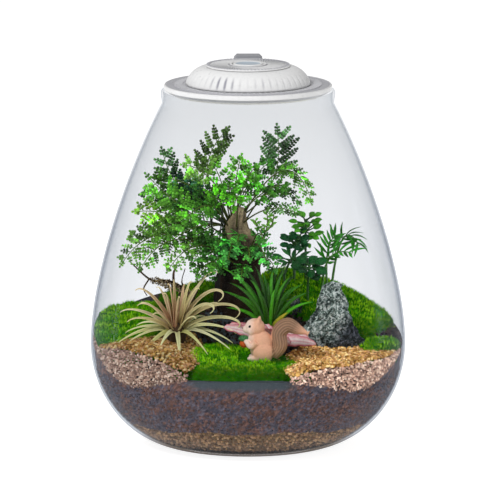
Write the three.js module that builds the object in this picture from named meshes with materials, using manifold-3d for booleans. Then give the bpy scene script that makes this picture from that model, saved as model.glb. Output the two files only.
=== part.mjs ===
// Glass plant terrarium: a teardrop glass vessel with a lamp lid, holding layered soil,
// moss, stones, driftwood, ferns and other small plants, and a resin squirrel.
// Millimetres, +Z up, the front faces -Y, origin at the middle of the vessel's flat base.
import * as THREE from "three";
import { mergeVertices } from "three/addons/utils/BufferGeometryUtils.js";
import Module from "manifold-3d";

const wasm = await Module();
wasm.setup();

// ---- Driving dimensions ----
const GAP = 0.3; // clearance between pieces that touch
const VESSEL = {
  height: 216,
  belly: { r: 95, z: 62 },
  foot: { r: 43, z: 0 },
  neck: { r: 51.8, z: 208 },
  wall: 3,
  floor: 5,
  sides: 32,
};
const LID = {
  radius: 50.5,
  thick: 3.5,
  plugRadius: 48.2,
  plugDepth: 3,
  domeRadius: 37.7,
  topRadius: 25.6,
  domeHeight: 10.5,
  shell: 1.6,
  relief: { from: 39.4, to: 44, height: 0.6 },
  buttonRadius: 9,
  sides: 24,
};
const DRAINAGE_TOP = 16.5; // height of the drainage gravel
const FOOT_DEPTH = 36; // moss and top gravel are built down to here, then cut by the soil
const SLOPE = { front: 54, rise: 26, power: 1.6, start: -85, depth: 165 };
const HILLS = {
  back_right: { x: 28, y: 40, height: 20, sx: 34, sy: 26 },
  left: { x: -60, y: 28, height: 8, sx: 26, sy: 26 },
  under_driftwood: { x: -10, y: 2, height: 18, sx: 34, sy: 18 },
  front_left: { x: -50, y: -45, height: 4, sx: 26, sy: 26 },
};
const TROUGHS = {
  front_left: { x: -62, y: -50, height: -14, sx: 21, sy: 21 },
  front_right: { x: 60, y: -52, height: -13, sx: 21, sy: 21 },
};
const BLADE = 0.8; // leaf thickness
const STEM = 1; // thickness of a fern's or palm's stem
const STALK = 0.8; // radius of an umbrella plant's stalk
const ROOT = 8; // depth of a stem in the soil

// ---- Small tools ----
const { sin, cos, PI, min, max, abs, sqrt, exp, round } = Math;
const lerp = THREE.MathUtils.lerp;
const rad = THREE.MathUtils.degToRad;
const v2 = (x, y) => new THREE.Vector2(x, y);
const v3 = (x, y, z) => new THREE.Vector3(x, y, z);
const UP = v3(0, 0, 1);
const GOLDEN_ANGLE = 2.4;

// A seeded random number from 0 to 1, the same on every run.
function seeded(seed) {
  let state = seed;
  return () => {
    state = (state * 16807) % 2147483647;
    return state / 2147483647;
  };
}

// A closed geometry as a manifold-3d solid, faces out.
function solid(geometry) {
  const bare = geometry.clone();
  bare.deleteAttribute("normal");
  bare.deleteAttribute("uv");
  const merged = mergeVertices(bare, 1e-4);
  const index = merged.index.array;
  const faces = [];
  for (let i = 0; i < index.length; i += 3) {
    const [a, b, c] = index.slice(i, i + 3);
    if (a !== b && b !== c && c !== a) faces.push([a, b, c]);
  }
  const vertProperties = merged.attributes.position.array;
  const make = (list) =>
    new wasm.Manifold(new wasm.Mesh({ numProp: 3, vertProperties, triVerts: new Uint32Array(list.flat()) }));
  const made = make(faces);
  return made.volume() > 0 ? made : make(faces.map(([a, b, c]) => [b, a, c]));
}

const join = (parts) => parts.reduce((a, b) => a.add(b));
const cut = (body, tools) => tools.reduce((a, b) => a.subtract(b), body);

// The largest single body of a solid, for a cut that leaves loose scraps.
const largest = (body) => body.decompose().sort((a, b) => b.volume() - a.volume())[0];

function geometryOf(body) {
  const mesh = body.getMesh();
  const geometry = new THREE.BufferGeometry();
  geometry.setAttribute("position", new THREE.BufferAttribute(mesh.vertProperties, 3));
  geometry.setIndex(new THREE.BufferAttribute(mesh.triVerts, 1));
  geometry.computeVertexNormals();
  return geometry;
}

function meshFrom(points, faces) {
  const geometry = new THREE.BufferGeometry();
  geometry.setFromPoints(points);
  geometry.setIndex(faces);
  return geometry;
}

// A closed body through rings of points, each ring a closed loop with the same count.
function loft(rings) {
  const n = rings[0].length;
  const middle = (ring) => ring.reduce((a, p) => a.clone().add(p), v3(0, 0, 0)).divideScalar(n);
  const points = rings.flat().concat(middle(rings[0]), middle(rings.at(-1)));
  const [first, last] = [points.length - 2, points.length - 1];
  const end = (rings.length - 1) * n;
  const faces = [];
  for (let j = 0; j < n; j++) {
    const k = (j + 1) % n;
    for (let a = 0; a < end; a += n) {
      faces.push(a + j, a + k, a + n + k, a + j, a + n + k, a + n + j);
    }
    faces.push(first, k, j, last, end + j, end + k);
  }
  return solid(meshFrom(points, faces));
}

// An open sheet of triangles given a thickness, both faces split alike.
function thicken(points, faces, thickness = BLADE) {
  const sheet = meshFrom(points, faces);
  sheet.computeVertexNormals();
  const normals = sheet.attributes.normal;
  const n = points.length;
  const side = (distance) =>
    points.map((p, i) => v3(0, 0, 0).fromBufferAttribute(normals, i).multiplyScalar(distance).add(p));
  const edges = new Map();
  const all = [];
  for (let i = 0; i < faces.length; i += 3) {
    const corners = faces.slice(i, i + 3);
    all.push(...corners, corners[2] + n, corners[1] + n, corners[0] + n);
    corners.forEach((a, k) => {
      const b = corners[(k + 1) % 3];
      if (!edges.delete(`${b},${a}`)) edges.set(`${a},${b}`, [a, b]);
    });
  }
  for (const [a, b] of edges.values()) all.push(b, a, a + n, b, a + n, b + n);
  return solid(meshFrom([...side(thickness / 2), ...side(-thickness / 2)], all));
}

// Frames along a path of points: the tangent, the side, and the way that the leaf faces.
function framesOf(path, face) {
  return path.map((p, i) => {
    const ahead = path[min(i + 1, path.length - 1)];
    const behind = path[max(i - 1, 0)];
    const along = ahead.clone().sub(behind).normalize();
    const side = along.clone().cross(face).normalize();
    return { p, along, side, up: side.clone().cross(along).normalize() };
  });
}

// A round tube along a path, its radius given at each point of the path.
function tube(path, radii, sides, face = v3(0.1, -1, 0.01)) {
  return loft(
    framesOf(path, face).map(({ p, side, up }, i) =>
      Array.from({ length: sides }, (_, j) => {
        const a = (2 * PI * j) / sides;
        return p.clone().addScaledVector(side, radii[i] * cos(a)).addScaledVector(up, radii[i] * sin(a));
      }),
    ),
  );
}

const lathe = (profile, sides) => solid(new THREE.LatheGeometry(profile, sides).rotateX(PI / 2));
const curve = (points, n) => new THREE.CatmullRomCurve3(points.map((p) => v3(...p))).getPoints(n);
const bow = ({ base, bend, tip }, n) =>
  new THREE.QuadraticBezierCurve3(v3(...base), v3(...bend), v3(...tip)).getPoints(n);
const box = (x, y, z, cx, cy, cz) => solid(new THREE.BoxGeometry(x, y, z).translate(cx, cy, cz));
const disc = (r, bottom, top, sides) => lathe([v2(0, bottom), v2(r, bottom), v2(r, top), v2(0, top)], sides);
const ball = (x, y, z, rx, ry, rz, sides = 8) =>
  solid(new THREE.SphereGeometry(1, sides, 5).rotateX(PI / 2).scale(rx, ry, rz).translate(x, y, z));

// ---- Vessel ----
// The vessel's wall from its base to its neck, moved in by an inset.
function wallPath(inset, floor) {
  const { belly, foot, neck } = VESSEL;
  const b = belly.r - inset;
  const bowl = new THREE.CubicBezierCurve(
    v2(foot.r - 1.5 * inset, floor),
    v2(72 - inset, floor + 2),
    v2(b, 30 + inset / 2),
    v2(b, belly.z),
  );
  const cone = new THREE.CubicBezierCurve(
    v2(b, belly.z),
    v2(b, 100),
    v2(74 - inset, 165),
    v2(neck.r - inset, neck.z),
  );
  return [...bowl.getPoints(5), ...cone.getPoints(5).slice(1)];
}
const innerWall = wallPath(VESSEL.wall, VESSEL.floor);

// The vessel's inner radius at a height.
function innerRadius(z) {
  const above = innerWall.findIndex((p) => p.y > z);
  const [a, b] = [innerWall[above - 1], innerWall[above]];
  return lerp(a.x, b.x, (z - a.y) / (b.y - a.y));
}

function vessel() {
  const { height, neck, wall } = VESSEL;
  const bead = [v2(neck.r + 0.9, neck.z + 3), v2(neck.r + 0.9, height - 1), v2(neck.r, height)];
  const lip = v2(neck.r - wall, height);
  const floor = v2(0, VESSEL.floor);
  return lathe([v2(0, 0), ...wallPath(0, 0), ...bead, lip, ...innerWall.toReversed(), floor], VESSEL.sides);
}

// The space inside the glass, for trimming what lies against it.
function interior(clearance) {
  const wall = innerWall.map((p) => v2(p.x - clearance, p.y));
  return lathe([v2(0, wall[0].y), ...wall, v2(0, wall.at(-1).y)], VESSEL.sides);
}

// ---- Lid, in its own frame with z = 0 at the vessel's rim ----
// The flat flange with its locating ring below and a low ring of relief above.
function lidFlange() {
  const { radius: R, thick: t, plugRadius, plugDepth, domeRadius, relief, sides } = LID;
  const seat = domeRadius - 3.5;
  return lathe(
    [
      v2(plugRadius - 2, GAP),
      v2(plugRadius - 2, -plugDepth),
      v2(plugRadius, -plugDepth),
      v2(plugRadius, GAP),
      v2(R - 0.5, GAP),
      v2(R, t / 2),
      v2(R - 0.5, t),
      v2(relief.to + 0.4, t),
      v2(relief.to, t + relief.height),
      v2(relief.from, t + relief.height),
      v2(relief.from - 0.4, t),
      v2(seat, t),
      v2(seat, GAP),
      v2(plugRadius - 2, GAP),
    ],
    sides,
  );
}

// The dome's outer line from its rim to its flat top, moved out by an offset.
function domeLine(offset) {
  const { thick: t, domeRadius: R, topRadius: r, domeHeight: h } = LID;
  const base = t + GAP;
  return [
    v2(R + offset, base),
    v2(R - 1.2 + offset, base + 3.6 + offset),
    v2(R - 5.5 + offset, base + h - 2.6 + offset),
    v2(r + offset, base + h + offset),
  ];
}

// The domed cover over the lamp: a shell, open below.
function lidDome() {
  const { shell, sides } = LID;
  const outer = domeLine(0);
  const inner = domeLine(-shell).toReversed();
  return lathe([v2(0, inner[0].y), ...inner, ...outer, v2(0, outer.at(-1).y)], sides);
}
const DOME_TOP = domeLine(0).at(-1).y;

// The round top plate: a ring whose slots run between raised radial ribs.
function lidTopPlate() {
  const { topRadius, buttonRadius } = LID;
  const ribs = 12;
  const bottom = DOME_TOP + GAP;
  const shape = new THREE.Shape().absarc(0, 0, topRadius - 0.4, 0, 2 * PI);
  shape.holes.push(new THREE.Path().absarc(0, 0, buttonRadius + 0.8, 0, 2 * PI));
  const plate = new THREE.ExtrudeGeometry(shape, { depth: 0.8, bevelEnabled: false, curveSegments: 12 });
  const rib = (i) =>
    solid(
      new THREE.BoxGeometry(topRadius - buttonRadius - 5, 1.4, 1.2)
        .translate((topRadius + buttonRadius) / 2, 0, bottom + 0.9)
        .rotateZ((2 * PI * i) / ribs),
    );
  return join([solid(plate.translate(0, 0, bottom)), ...Array.from({ length: ribs }, (_, i) => rib(i))]);
}

// The touch button in the middle, a dished disc.
function lidButton() {
  const { buttonRadius: b } = LID;
  const bottom = DOME_TOP + GAP;
  const dish = [v2(0, bottom), v2(b, bottom), v2(b, bottom + 1.5), v2(b - 1, bottom + 1.7)];
  return lathe([...dish, v2(b / 2, bottom + 1), v2(0, bottom + 0.9)], 20);
}

// The inlet tab that stands on the flange behind the dome, with a flat slot in its back.
const TAB = { half: 8.6, bevel: 1.8, back: 40, depth: 12, slot: { x: 9, y: 7, z: 3.2 } };
function lidSocket() {
  const { thick: t, relief, sides } = LID;
  const { half, bevel, back, depth, slot } = TAB;
  const top = DOME_TOP + 2;
  const outline = [
    v2(-half, t),
    v2(half, t),
    v2(half, top - bevel),
    v2(half - bevel, top),
    v2(bevel - half, top),
    v2(-half, top - bevel),
  ];
  const block = new THREE.ExtrudeGeometry(new THREE.Shape(outline), { depth, bevelEnabled: false });
  const inlet = box(slot.x, slot.y, slot.z, 0, back, t + 5);
  const [outer, inner] = [relief.to + 0.8, relief.from - 0.8];
  const ledge = t + relief.height + GAP;
  const flange = [v2(0, 0), v2(outer, 0), v2(outer, ledge), v2(inner, ledge)];
  const lidBelow = lathe([...flange, ...domeLine(GAP), v2(0, DOME_TOP + GAP)], sides);
  return cut(solid(block.rotateX(PI / 2).translate(0, back, 0)), [lidBelow, inlet]);
}

// The lamp inside the dome: a board whose chips stand on the frosted disc below.
function lidBoard() {
  const chips = 6;
  const chip = (i) =>
    solid(new THREE.BoxGeometry(4, 4, 1.4).translate(22, 0, 0.3 + 0.7).rotateZ((2 * PI * i) / chips));
  return join([disc(LID.domeRadius - 4.7, 1.5, 3, 20), ...Array.from({ length: chips }, (_, i) => chip(i))]);
}
const lidDiffuser = () => disc(LID.plugRadius - 2.4, -2.3, 0, LID.sides);

// ---- Ground ----
const swell = (x, y, hills) =>
  Object.values(hills).reduce(
    (sum, { x: hx, y: hy, height, sx, sy }) =>
      sum + height * exp(-((x - hx) ** 2) / (2 * sx * sx) - (y - hy) ** 2 / (2 * sy * sy)),
    0,
  );

// The planted slope, rising from the front glass to the back over its hills.
function slopeHeight(x, y) {
  const t = min(max((y - SLOPE.start) / SLOPE.depth, 0), 1);
  return SLOPE.front + SLOPE.rise * t ** SLOPE.power + swell(x, y, HILLS);
}

// The soil's own top: the slope with a trough at each front side, which the tan gravel fills.
const soilHeight = (x, y) => slopeHeight(x, y) + swell(x, y, TROUGHS);

// A layer inside the vessel between two height functions, its side against the glass or,
// with a flare, that much beyond it.
function layer(bottom, top, { steps, sides, flare = 0, clearance = 0.5 }) {
  const ring = (place) => Array.from({ length: sides }, (_, j) => place((2 * PI * j) / sides));
  const edgeRadius = (height, a) => {
    let r = 80;
    for (let i = 0; i < 6; i++) r = innerRadius(height(r * cos(a), r * sin(a))) - clearance;
    return r;
  };
  const surface = (height, f) =>
    ring((a) => {
      const r = f * edgeRadius(height, a);
      return v3(r * cos(a), r * sin(a), height(r * cos(a), r * sin(a)));
    });
  const out = (points) => points.map((p) => p.clone().add(v3(p.x, p.y, 0).setLength(flare)));
  const [lowEdge, highEdge] = [surface(bottom, 1), surface(top, 1)];
  const side = (f) =>
    lowEdge.map((p, j) => {
      const z = lerp(p.z, highEdge[j].z, f);
      const r = innerRadius(z) - clearance;
      return v3(p.x, p.y, 0).setLength(r).setZ(z);
    });
  const walls = [lowEdge, side(0.35), side(0.65), highEdge].map(out);
  const under = [surface(bottom, steps[0]), ...(flare ? [lowEdge] : [])];
  const over = [...(flare ? [highEdge] : []), ...steps.toReversed().map((f) => surface(top, f))];
  return loft([...under, ...walls, ...over]);
}

// A lumpy moss cushion on an oval footprint: crown is its thickness over the slope.
function cushion({ x, y, rx, ry, turn, crown, seed }, grow = 0) {
  const sides = 16;
  const ring = (f, foot) =>
    Array.from({ length: sides }, (_, j) => {
      const a = (2 * PI * j) / sides;
      const wave = 1 + 0.05 * sin(3 * a + seed) + 0.04 * sin(5 * a + 2 * seed);
      const [u, w] = [f * (rx * wave + grow) * cos(a), f * (ry * wave + grow) * sin(a)];
      const px = x + u * cos(turn) - w * sin(turn);
      const py = y + u * sin(turn) + w * cos(turn);
      const lump = 0.9 * sin(px * 0.34 + seed) * cos(py * 0.31 - seed);
      const thickness = (crown + lump) * sqrt(max(1 - f ** 3, 0)) + grow;
      return v3(px, py, foot ? FOOT_DEPTH : slopeHeight(px, py) + thickness);
    });
  return loft([ring(0.5, true), ring(1, true), ring(1), ring(0.9), ring(0.55)]);
}
const CUSHIONS = {
  moss_left: { x: -60, y: 25, rx: 36, ry: 33, turn: -0.25, crown: 7, seed: 1 },
  moss_hill: { x: 44, y: 34, rx: 52, ry: 40, turn: -0.3, crown: 8, seed: 3 },
  moss_back: { x: -24, y: 60, rx: 30, ry: 26, turn: 0, crown: 6, seed: 5 },
  moss_right: { x: 79, y: -20, rx: 16, ry: 11, turn: 0.9, crown: 6, seed: 4 },
  moss_front: { x: -4, y: -58, rx: 41, ry: 28, turn: -0.1, crown: 5.5, seed: 2 },
};

// The tan gravel that fills a front trough up to the slope, between two bearings in degrees.
function gravelBand({ from, to, inner }) {
  const n = 6;
  const rim = VESSEL.belly.r + 2;
  const place = (i, r, foot) => {
    const a = rad(lerp(from, to, i / n));
    const [x, y] = [r * cos(a), r * sin(a)];
    return v3(x, y, foot ? FOOT_DEPTH : slopeHeight(x, y) + 1.2 + 0.5 * sin(i * 2.1 + r));
  };
  const rings = [];
  for (let i = 0; i <= n; i++) {
    const r = inner + 12 * abs((2 * i) / n - 1) ** 3;
    const middle = lerp(r, rim, 0.45);
    rings.push([place(i, r, true), place(i, rim, true), place(i, rim), place(i, middle), place(i, r)]);
  }
  return loft(rings);
}
const GRAVEL_BANDS = {
  top_gravel_left: { from: 172, to: 262, inner: 38 },
  top_gravel_right: { from: 276, to: 350, inner: 42 },
};

// ---- Stones and wood, each grown by a clearance when it is used as a cutter ----
// Jagged rings from the foot to the peak: each row is z, centre x, centre y, radius x, radius y.
function stone({ rows, seed }, grow = 0) {
  const sides = 11;
  const next = seeded(seed);
  const ridges = Array.from({ length: sides }, () => 0.85 + 0.3 * next());
  return loft(
    rows.map(([z, cx, cy, rx, ry], i) =>
      Array.from({ length: sides }, (_, j) => {
        const a = (2 * PI * j) / sides + 0.1 * i;
        const k = ridges[j] + 0.14 * (next() - 0.5);
        const lift = i === rows.length - 1 ? grow : 0;
        return v3(cx + (rx * k + grow) * cos(a), cy + (ry * k + grow) * sin(a), z + lift);
      }),
    ),
  );
}
const STONES = {
  peak_stone: {
    seed: 5,
    rows: [
      [48, 49, -14, 22, 13],
      [58, 49, -14, 22, 13],
      [66, 48, -14, 20, 12],
      [73, 47.5, -13, 15.5, 10.5],
      [82, 49.5, -12.5, 10, 8],
      [91, 50, -12, 7.6, 6],
      [99.5, 50.8, -12, 4, 3.2],
    ],
  },
  low_stone: {
    seed: 9,
    rows: [
      [66, 26.5, 4, 5.5, 4.5],
      [75, 27, 4, 6, 4.5],
      [82, 27.6, 4, 4.6, 4],
      [88, 28.5, 4, 2.2, 2],
    ],
  },
};

// The driftwood: a stout trunk with a bulge, a broken top and a branch to the left.
function driftwood(grow = 0) {
  const grown = (radii) => radii.map((r) => r + grow);
  const stump = curve(
    [
      [-2, 4, 48],
      [-4, 5, 66],
      [-6, 6, 86],
      [-6, 7, 106],
      [-4, 8, 119],
      [-7, 8, 130],
      [-4, 9, 143 + grow],
    ],
    8,
  );
  const trunk = tube(stump, grown([17, 16.2, 14.4, 13.8, 13.2, 13, 9.6, 6.8, 3]), 9);
  const branch = curve(
    [
      [-6, 6, 112],
      [-18, 4, 120],
      [-34 - grow, 2, 125],
    ],
    4,
  );
  return trunk.add(tube(branch, grown([6, 4.6, 3.9, 3.2, 2]), 7, UP));
}

// A dry twig that leans out of the ground to the left, with a short fork.
function twig(grow = 0) {
  const grown = (radii) => radii.map((r) => r + grow);
  const main = curve(
    [
      [-27, 12, 72],
      [-35, 11, 88],
      [-47, 9, 97],
      [-59, 7, 99],
      [-71, 5, 110],
    ],
    7,
  );
  const fork = curve(
    [
      [-45, 9, 96],
      [-45, 7, 103],
      [-43, 6, 108],
    ],
    2,
  );
  return tube(main, grown([2, 2, 2, 2.2, 2.4, 1.6, 1, 0.7]), 6).add(tube(fork, grown([1.2, 1, 0.7]), 5));
}

// ---- Leaves ----
// A cut leaf: a narrow rib, bare along its stalk, then with pointed leaflets on both sides
// and one at its tip.
function cutLeaf(stalk, path, { reach, pairs, face, lean = 0.5, wide = 0.42, droop = 0.25 }) {
  const frames = framesOf([...stalk, ...path], face);
  const n = path.length - 1;
  const gap = path[0].distanceTo(path[1]);
  const points = [];
  const faces = [];
  const all = frames.map(({ p, side }) => {
    points.push(p.clone().addScaledVector(side, -STEM / 2), p.clone().addScaledVector(side, STEM / 2));
    return { left: points.length - 2, right: points.length - 1 };
  });
  all.slice(1).forEach((b, i) => {
    const a = all[i];
    faces.push(a.left, b.left, b.right, a.left, b.right, a.right);
  });
  const rib = all.slice(stalk.length);
  const spine = frames.slice(stalk.length);
  // One leaflet from two points of the rib: widest before its middle, then drawn to a point.
  const leaflet = (a, b, out, up, length, width) => {
    const root = points[a].clone().add(points[b]).divideScalar(2);
    const across = points[b].clone().sub(points[a]).setLength(width / 2);
    const belly = root.clone().addScaledVector(out, length * 0.45).addScaledVector(up, -length * droop * 0.2);
    const tip = root.clone().addScaledVector(out, length).addScaledVector(up, -length * droop);
    const c = points.push(belly.clone().sub(across), belly.clone().add(across), tip) - 3;
    faces.push(a, c, c + 1, a, c + 1, b, c, c + 2, c + 1);
  };
  for (let i = 0; i < 2 * pairs; i += 2) {
    const { along, side, up } = spine[i];
    const length = reach * sqrt(sin(PI * (0.22 + (0.72 * i) / n)));
    const out = (sign) => side.clone().multiplyScalar(sign).addScaledVector(along, lean).normalize();
    leaflet(rib[i].left, rib[i + 1].left, out(-1), up, length, wide * gap * 4);
    leaflet(rib[i + 1].right, rib[i].right, out(1), up, length, wide * gap * 4);
  }
  const end = spine[n];
  leaflet(rib[n].left, rib[n].right, end.along, end.up, gap * 2, gap * 1.2);
  return thicken(points, faces, STEM);
}

// A frond along its bow: a bare stalk for the first part, then the cut leaf. A frond that
// stands in the ground starts at its root, straight below its base.
function frond({ root, base, bend, tip, reach, face = [0, -0.8, 0.6], stem = 0.4, pairs = 4, ...shape }) {
  const fine = 48;
  const whole = bow({ base, bend, tip }, fine);
  const turn = round(stem * fine);
  const pick = (from, to, n) => Array.from({ length: n + 1 }, (_, i) => whole[round(lerp(from, to, i / n))]);
  const stalk = [...(root ? [v3(...rooted(root))] : []), ...pick(0, turn, 2).slice(0, 2)];
  return cutLeaf(stalk, pick(turn, fine, 2 * pairs), { reach, pairs, face: v3(...face), ...shape });
}

// The hole that a frond's stem stands in, open to the outside of the wood.
function socket({ base, bend, tip, stem = 0.4 }) {
  const line = new THREE.QuadraticBezierCurve3(v3(...base), v3(...bend), v3(...tip));
  const root = line.getPoint(0);
  const way = line.getPoint(stem / 2).sub(root).normalize();
  const path = [root.clone().addScaledVector(way, -1), root.clone().addScaledVector(way, 14)];
  return tube(path, [STEM / 2 + 2.5 * GAP, STEM / 2 + 3 * GAP], 4);
}

// A long leaf with three sides, two edges and a keel, drawn out to a point.
function strapLeaf(path, width, thickness, face) {
  const frames = framesOf(path, face);
  const n = frames.length - 1;
  return loft(
    frames.map(({ p, side, up }, i) => {
      const w = (width / 2) * (1 - 0.9 * (i / n) ** 1.6);
      const keel = thickness * (1 - (0.6 * i) / n);
      return [
        p.clone().addScaledVector(side, -w),
        p.clone().addScaledVector(up, -keel),
        p.clone().addScaledVector(side, w),
      ];
    }),
  );
}

// An oval leaf with a folded middle, from its stalk to its point.
function ovalLeaf(from, out, face, length, width) {
  const side = out.clone().cross(face).normalize();
  const up = side.clone().cross(out).normalize();
  const points = [];
  const faces = [];
  const shape = [
    { t: 0, w: 0.15 },
    { t: 0.55, w: 1 },
  ];
  const sag = 0.16;
  const middle = (t) =>
    from.clone().addScaledVector(out, length * t).addScaledVector(up, -length * sag * t * t);
  for (const { t, w } of shape) {
    const half = side.clone().multiplyScalar((w * width) / 2);
    const lift = up.clone().multiplyScalar(0.08 * width * w);
    const mid = middle(t);
    points.push(mid.clone().sub(half).add(lift), mid, mid.clone().add(half).add(lift));
    const a = points.length - 3;
    if (a) faces.push(a - 3, a, a + 1, a - 3, a + 1, a - 2, a - 2, a + 1, a + 2, a - 2, a + 2, a - 1);
  }
  const tip = points.push(middle(1)) - 1;
  faces.push(tip - 3, tip, tip - 2, tip - 2, tip, tip - 1);
  return thicken(points, faces);
}

// A rosette's strap leaf: it leans out on its own bearing, rises, and bows to its tip.
function rosetteLeaf({ root, bearing, rise, reach, arch, fall, width, keel, steps, face }) {
  const flat = v3(cos(bearing), sin(bearing), 0);
  const at = (s, lift) =>
    root.clone().addScaledVector(flat, s * cos(rise)).addScaledVector(UP, s * sin(rise) + lift);
  const path = new THREE.QuadraticBezierCurve3(root, at(reach * 0.6, arch), at(reach, -fall));
  return strapLeaf(path.getPoints(steps), width, keel, face ?? flat.multiplyScalar(-0.5).add(UP));
}

// ---- Plants ----
// Fern fronds from the driftwood's crown: base in the wood, the bend of the rib, and the tip.
const UPRIGHT = [0, -1, 0.1];
const TO_FRONT = [0, -0.8, 0.6];
const TO_LEFT = [-0.15, -0.9, 0.4];
const TO_RIGHT = [0.25, -0.5, 0.8];
const TO_BACK = [0, 0.55, 0.8];
const TALL = { stem: 0.5, face: UPRIGHT };
const FERN_FRONDS = {
  top_left: { base: [-11, 9, 136], bend: [-36, 14, 164], tip: [-14, 14, 187], reach: 13, ...TALL },
  top_right: { base: [-5, 10, 137], bend: [22, 14, 152], tip: [19, 10, 188], reach: 12, ...TALL, stem: 0.55 },
  right_arch: { base: [-4, 8, 136], bend: [24, 0, 190], tip: [38, -6, 150], reach: 8, face: TO_RIGHT },
  right_second: { base: [-3, 13, 131], bend: [14, 22, 164], tip: [31, 24, 144], reach: 7, face: TO_RIGHT },
  right_low: { base: [-3, 5, 132], bend: [13, -6, 146], tip: [29, -12, 140], reach: 7, face: TO_FRONT },
  left_top: { base: [-13, 12, 132], bend: [-44, 18, 146], tip: [-52, 14, 175], reach: 11, ...TALL },
  left_upper: { base: [-14, 6, 126], bend: [-44, -2, 146], tip: [-58, -6, 162], reach: 12, face: TO_LEFT },
  left_mid: { base: [-17, 7, 120], bend: [-40, 10, 142], tip: [-65, 6, 141], reach: 10, face: TO_LEFT },
  left_low: {
    base: [-29, 3, 123],
    bend: [-58, -4, 138],
    tip: [-75, -10, 113],
    reach: 11,
    stem: 0.3,
    face: TO_LEFT,
  },
  left_drop: { base: [-25, 1, 121], bend: [-50, -18, 136], tip: [-64, -26, 112], reach: 10, face: TO_LEFT },
  low_left: { base: [-19, 0, 118], bend: [-34, -28, 132], tip: [-47, -40, 114], reach: 9, face: TO_LEFT },
  low_mid: { base: [-15, -4, 106], bend: [-21, -26, 122], tip: [-29, -36, 110], reach: 8, face: TO_FRONT },
  front_left: { base: [-12, 3, 132], bend: [-22, -20, 158], tip: [-36, -34, 144], reach: 11, face: TO_FRONT },
  front_right: { base: [-7, 2, 131], bend: [-2, -24, 160], tip: [-4, -38, 142], reach: 10, face: TO_FRONT },
  mid_top: {
    base: [-9, 6, 138],
    bend: [-22, 0, 168],
    tip: [-36, -8, 171],
    reach: 10,
    stem: 0.5,
    face: TO_LEFT,
  },
  back_left: { base: [-12, 13, 130], bend: [-28, 36, 160], tip: [-44, 46, 144], reach: 11, face: TO_BACK },
  back_mid: { base: [-8, 14, 130], bend: [-10, 42, 160], tip: [-12, 57, 142], reach: 11, face: TO_BACK },
  back_right: { base: [-5, 14, 131], bend: [8, 42, 160], tip: [20, 54, 144], reach: 11, face: TO_BACK },
};

// Short, bright fronds that hang over the front of the trunk.
const APRON = { reach: 8, wide: 0.46 };
const APRON_FRONDS = {
  apron_left: { ...APRON, base: [-8, -4, 116], bend: [-8, -18, 134], tip: [-12, -28, 117] },
  apron_right: { ...APRON, base: [1, -4, 114], bend: [6, -18, 132], tip: [11, -26, 116] },
};

// Small palm fronds: long smooth leaflets on a leaning stem that leaves the moss upright.
const MOSS_CLEAR = 11; // a stem leans only this far above the soil
const rooted = ([x, y], above = -ROOT) => [x, y, slopeHeight(x, y) + above];
const PALM = { lean: 1.1, wide: 0.3, droop: 0.35 };
const palm = (root, shape) => ({ ...PALM, root, base: rooted(root, MOSS_CLEAR), ...shape });
const PALM_FRONDS = {
  palm_low: palm([46, 20], { bend: [46, 18, 116], tip: [63, 10, 114], reach: 16 }),
  palm_up: palm([48, 28], { bend: [46, 28, 118], tip: [54, 27, 128], reach: 15, face: UPRIGHT }),
  palm_arch: palm([52, 36], { bend: [57, 39, 134], tip: [67, 29, 117], reach: 11, face: TO_RIGHT }),
};

// Umbrella plant: where each stem stands and ends, and how its leaves spread.
const UMBRELLA_STEMS = {
  umbrella_low: { root: [22, 20], head: [27, 18, 110], leaves: 6, length: 13, width: 6, rise: 0.15 },
  umbrella_dark: { root: [27, 28], head: [27, 27, 121], leaves: 5, length: 11, width: 8, rise: 0.5 },
  umbrella_top: { root: [33, 36], head: [33, 35, 132], leaves: 5, length: 10, width: 7, rise: 0.5 },
  umbrella_broad: { root: [36, 11], head: [39, 3, 105], leaves: 4, length: 12, width: 10, rise: 0.3 },
};

function umbrella({ root, head, leaves, length, width, rise }, seed) {
  const next = seeded(seed);
  const [low, top] = [v3(...rooted(root)), v3(...head)];
  const knee = low.clone().setZ(low.z + ROOT + MOSS_CLEAR);
  const stalk = tube([low, knee, top], [STALK, STALK, STALK], 5);
  const leaf = (i) => {
    const turn = i * GOLDEN_ANGLE;
    const out = v3(cos(turn), sin(turn), rise + 0.3 * next()).normalize();
    const from = top.clone().lerp(knee, 0.01 + (1.2 * i) / top.distanceTo(knee));
    return ovalLeaf(from, out, UP, length * (0.8 + 0.3 * next()), width);
  };
  return join([stalk, ...Array.from({ length: leaves }, (_, i) => leaf(i))]);
}

// A thin stem with small pale leaves, from the driftwood's bulge.
const SPRIG = { base: [5, 9, 119], bend: [14, 12, 128], tip: [11, 12, 141] };
function sprig() {
  const stalk = bow(SPRIG, 5);
  const leaf = (i) => {
    const turn = i * GOLDEN_ANGLE;
    const out = v3(cos(turn), 0.6 * sin(turn), 0.5).normalize();
    return ovalLeaf(stalk[i + 1], out, v3(0, -0.6, 0.8), 6.5, 3.4);
  };
  return join([tube(stalk, stalk.map(() => 0.6), 4), ...[0, 1, 2, 3].map(leaf)]);
}

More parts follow.
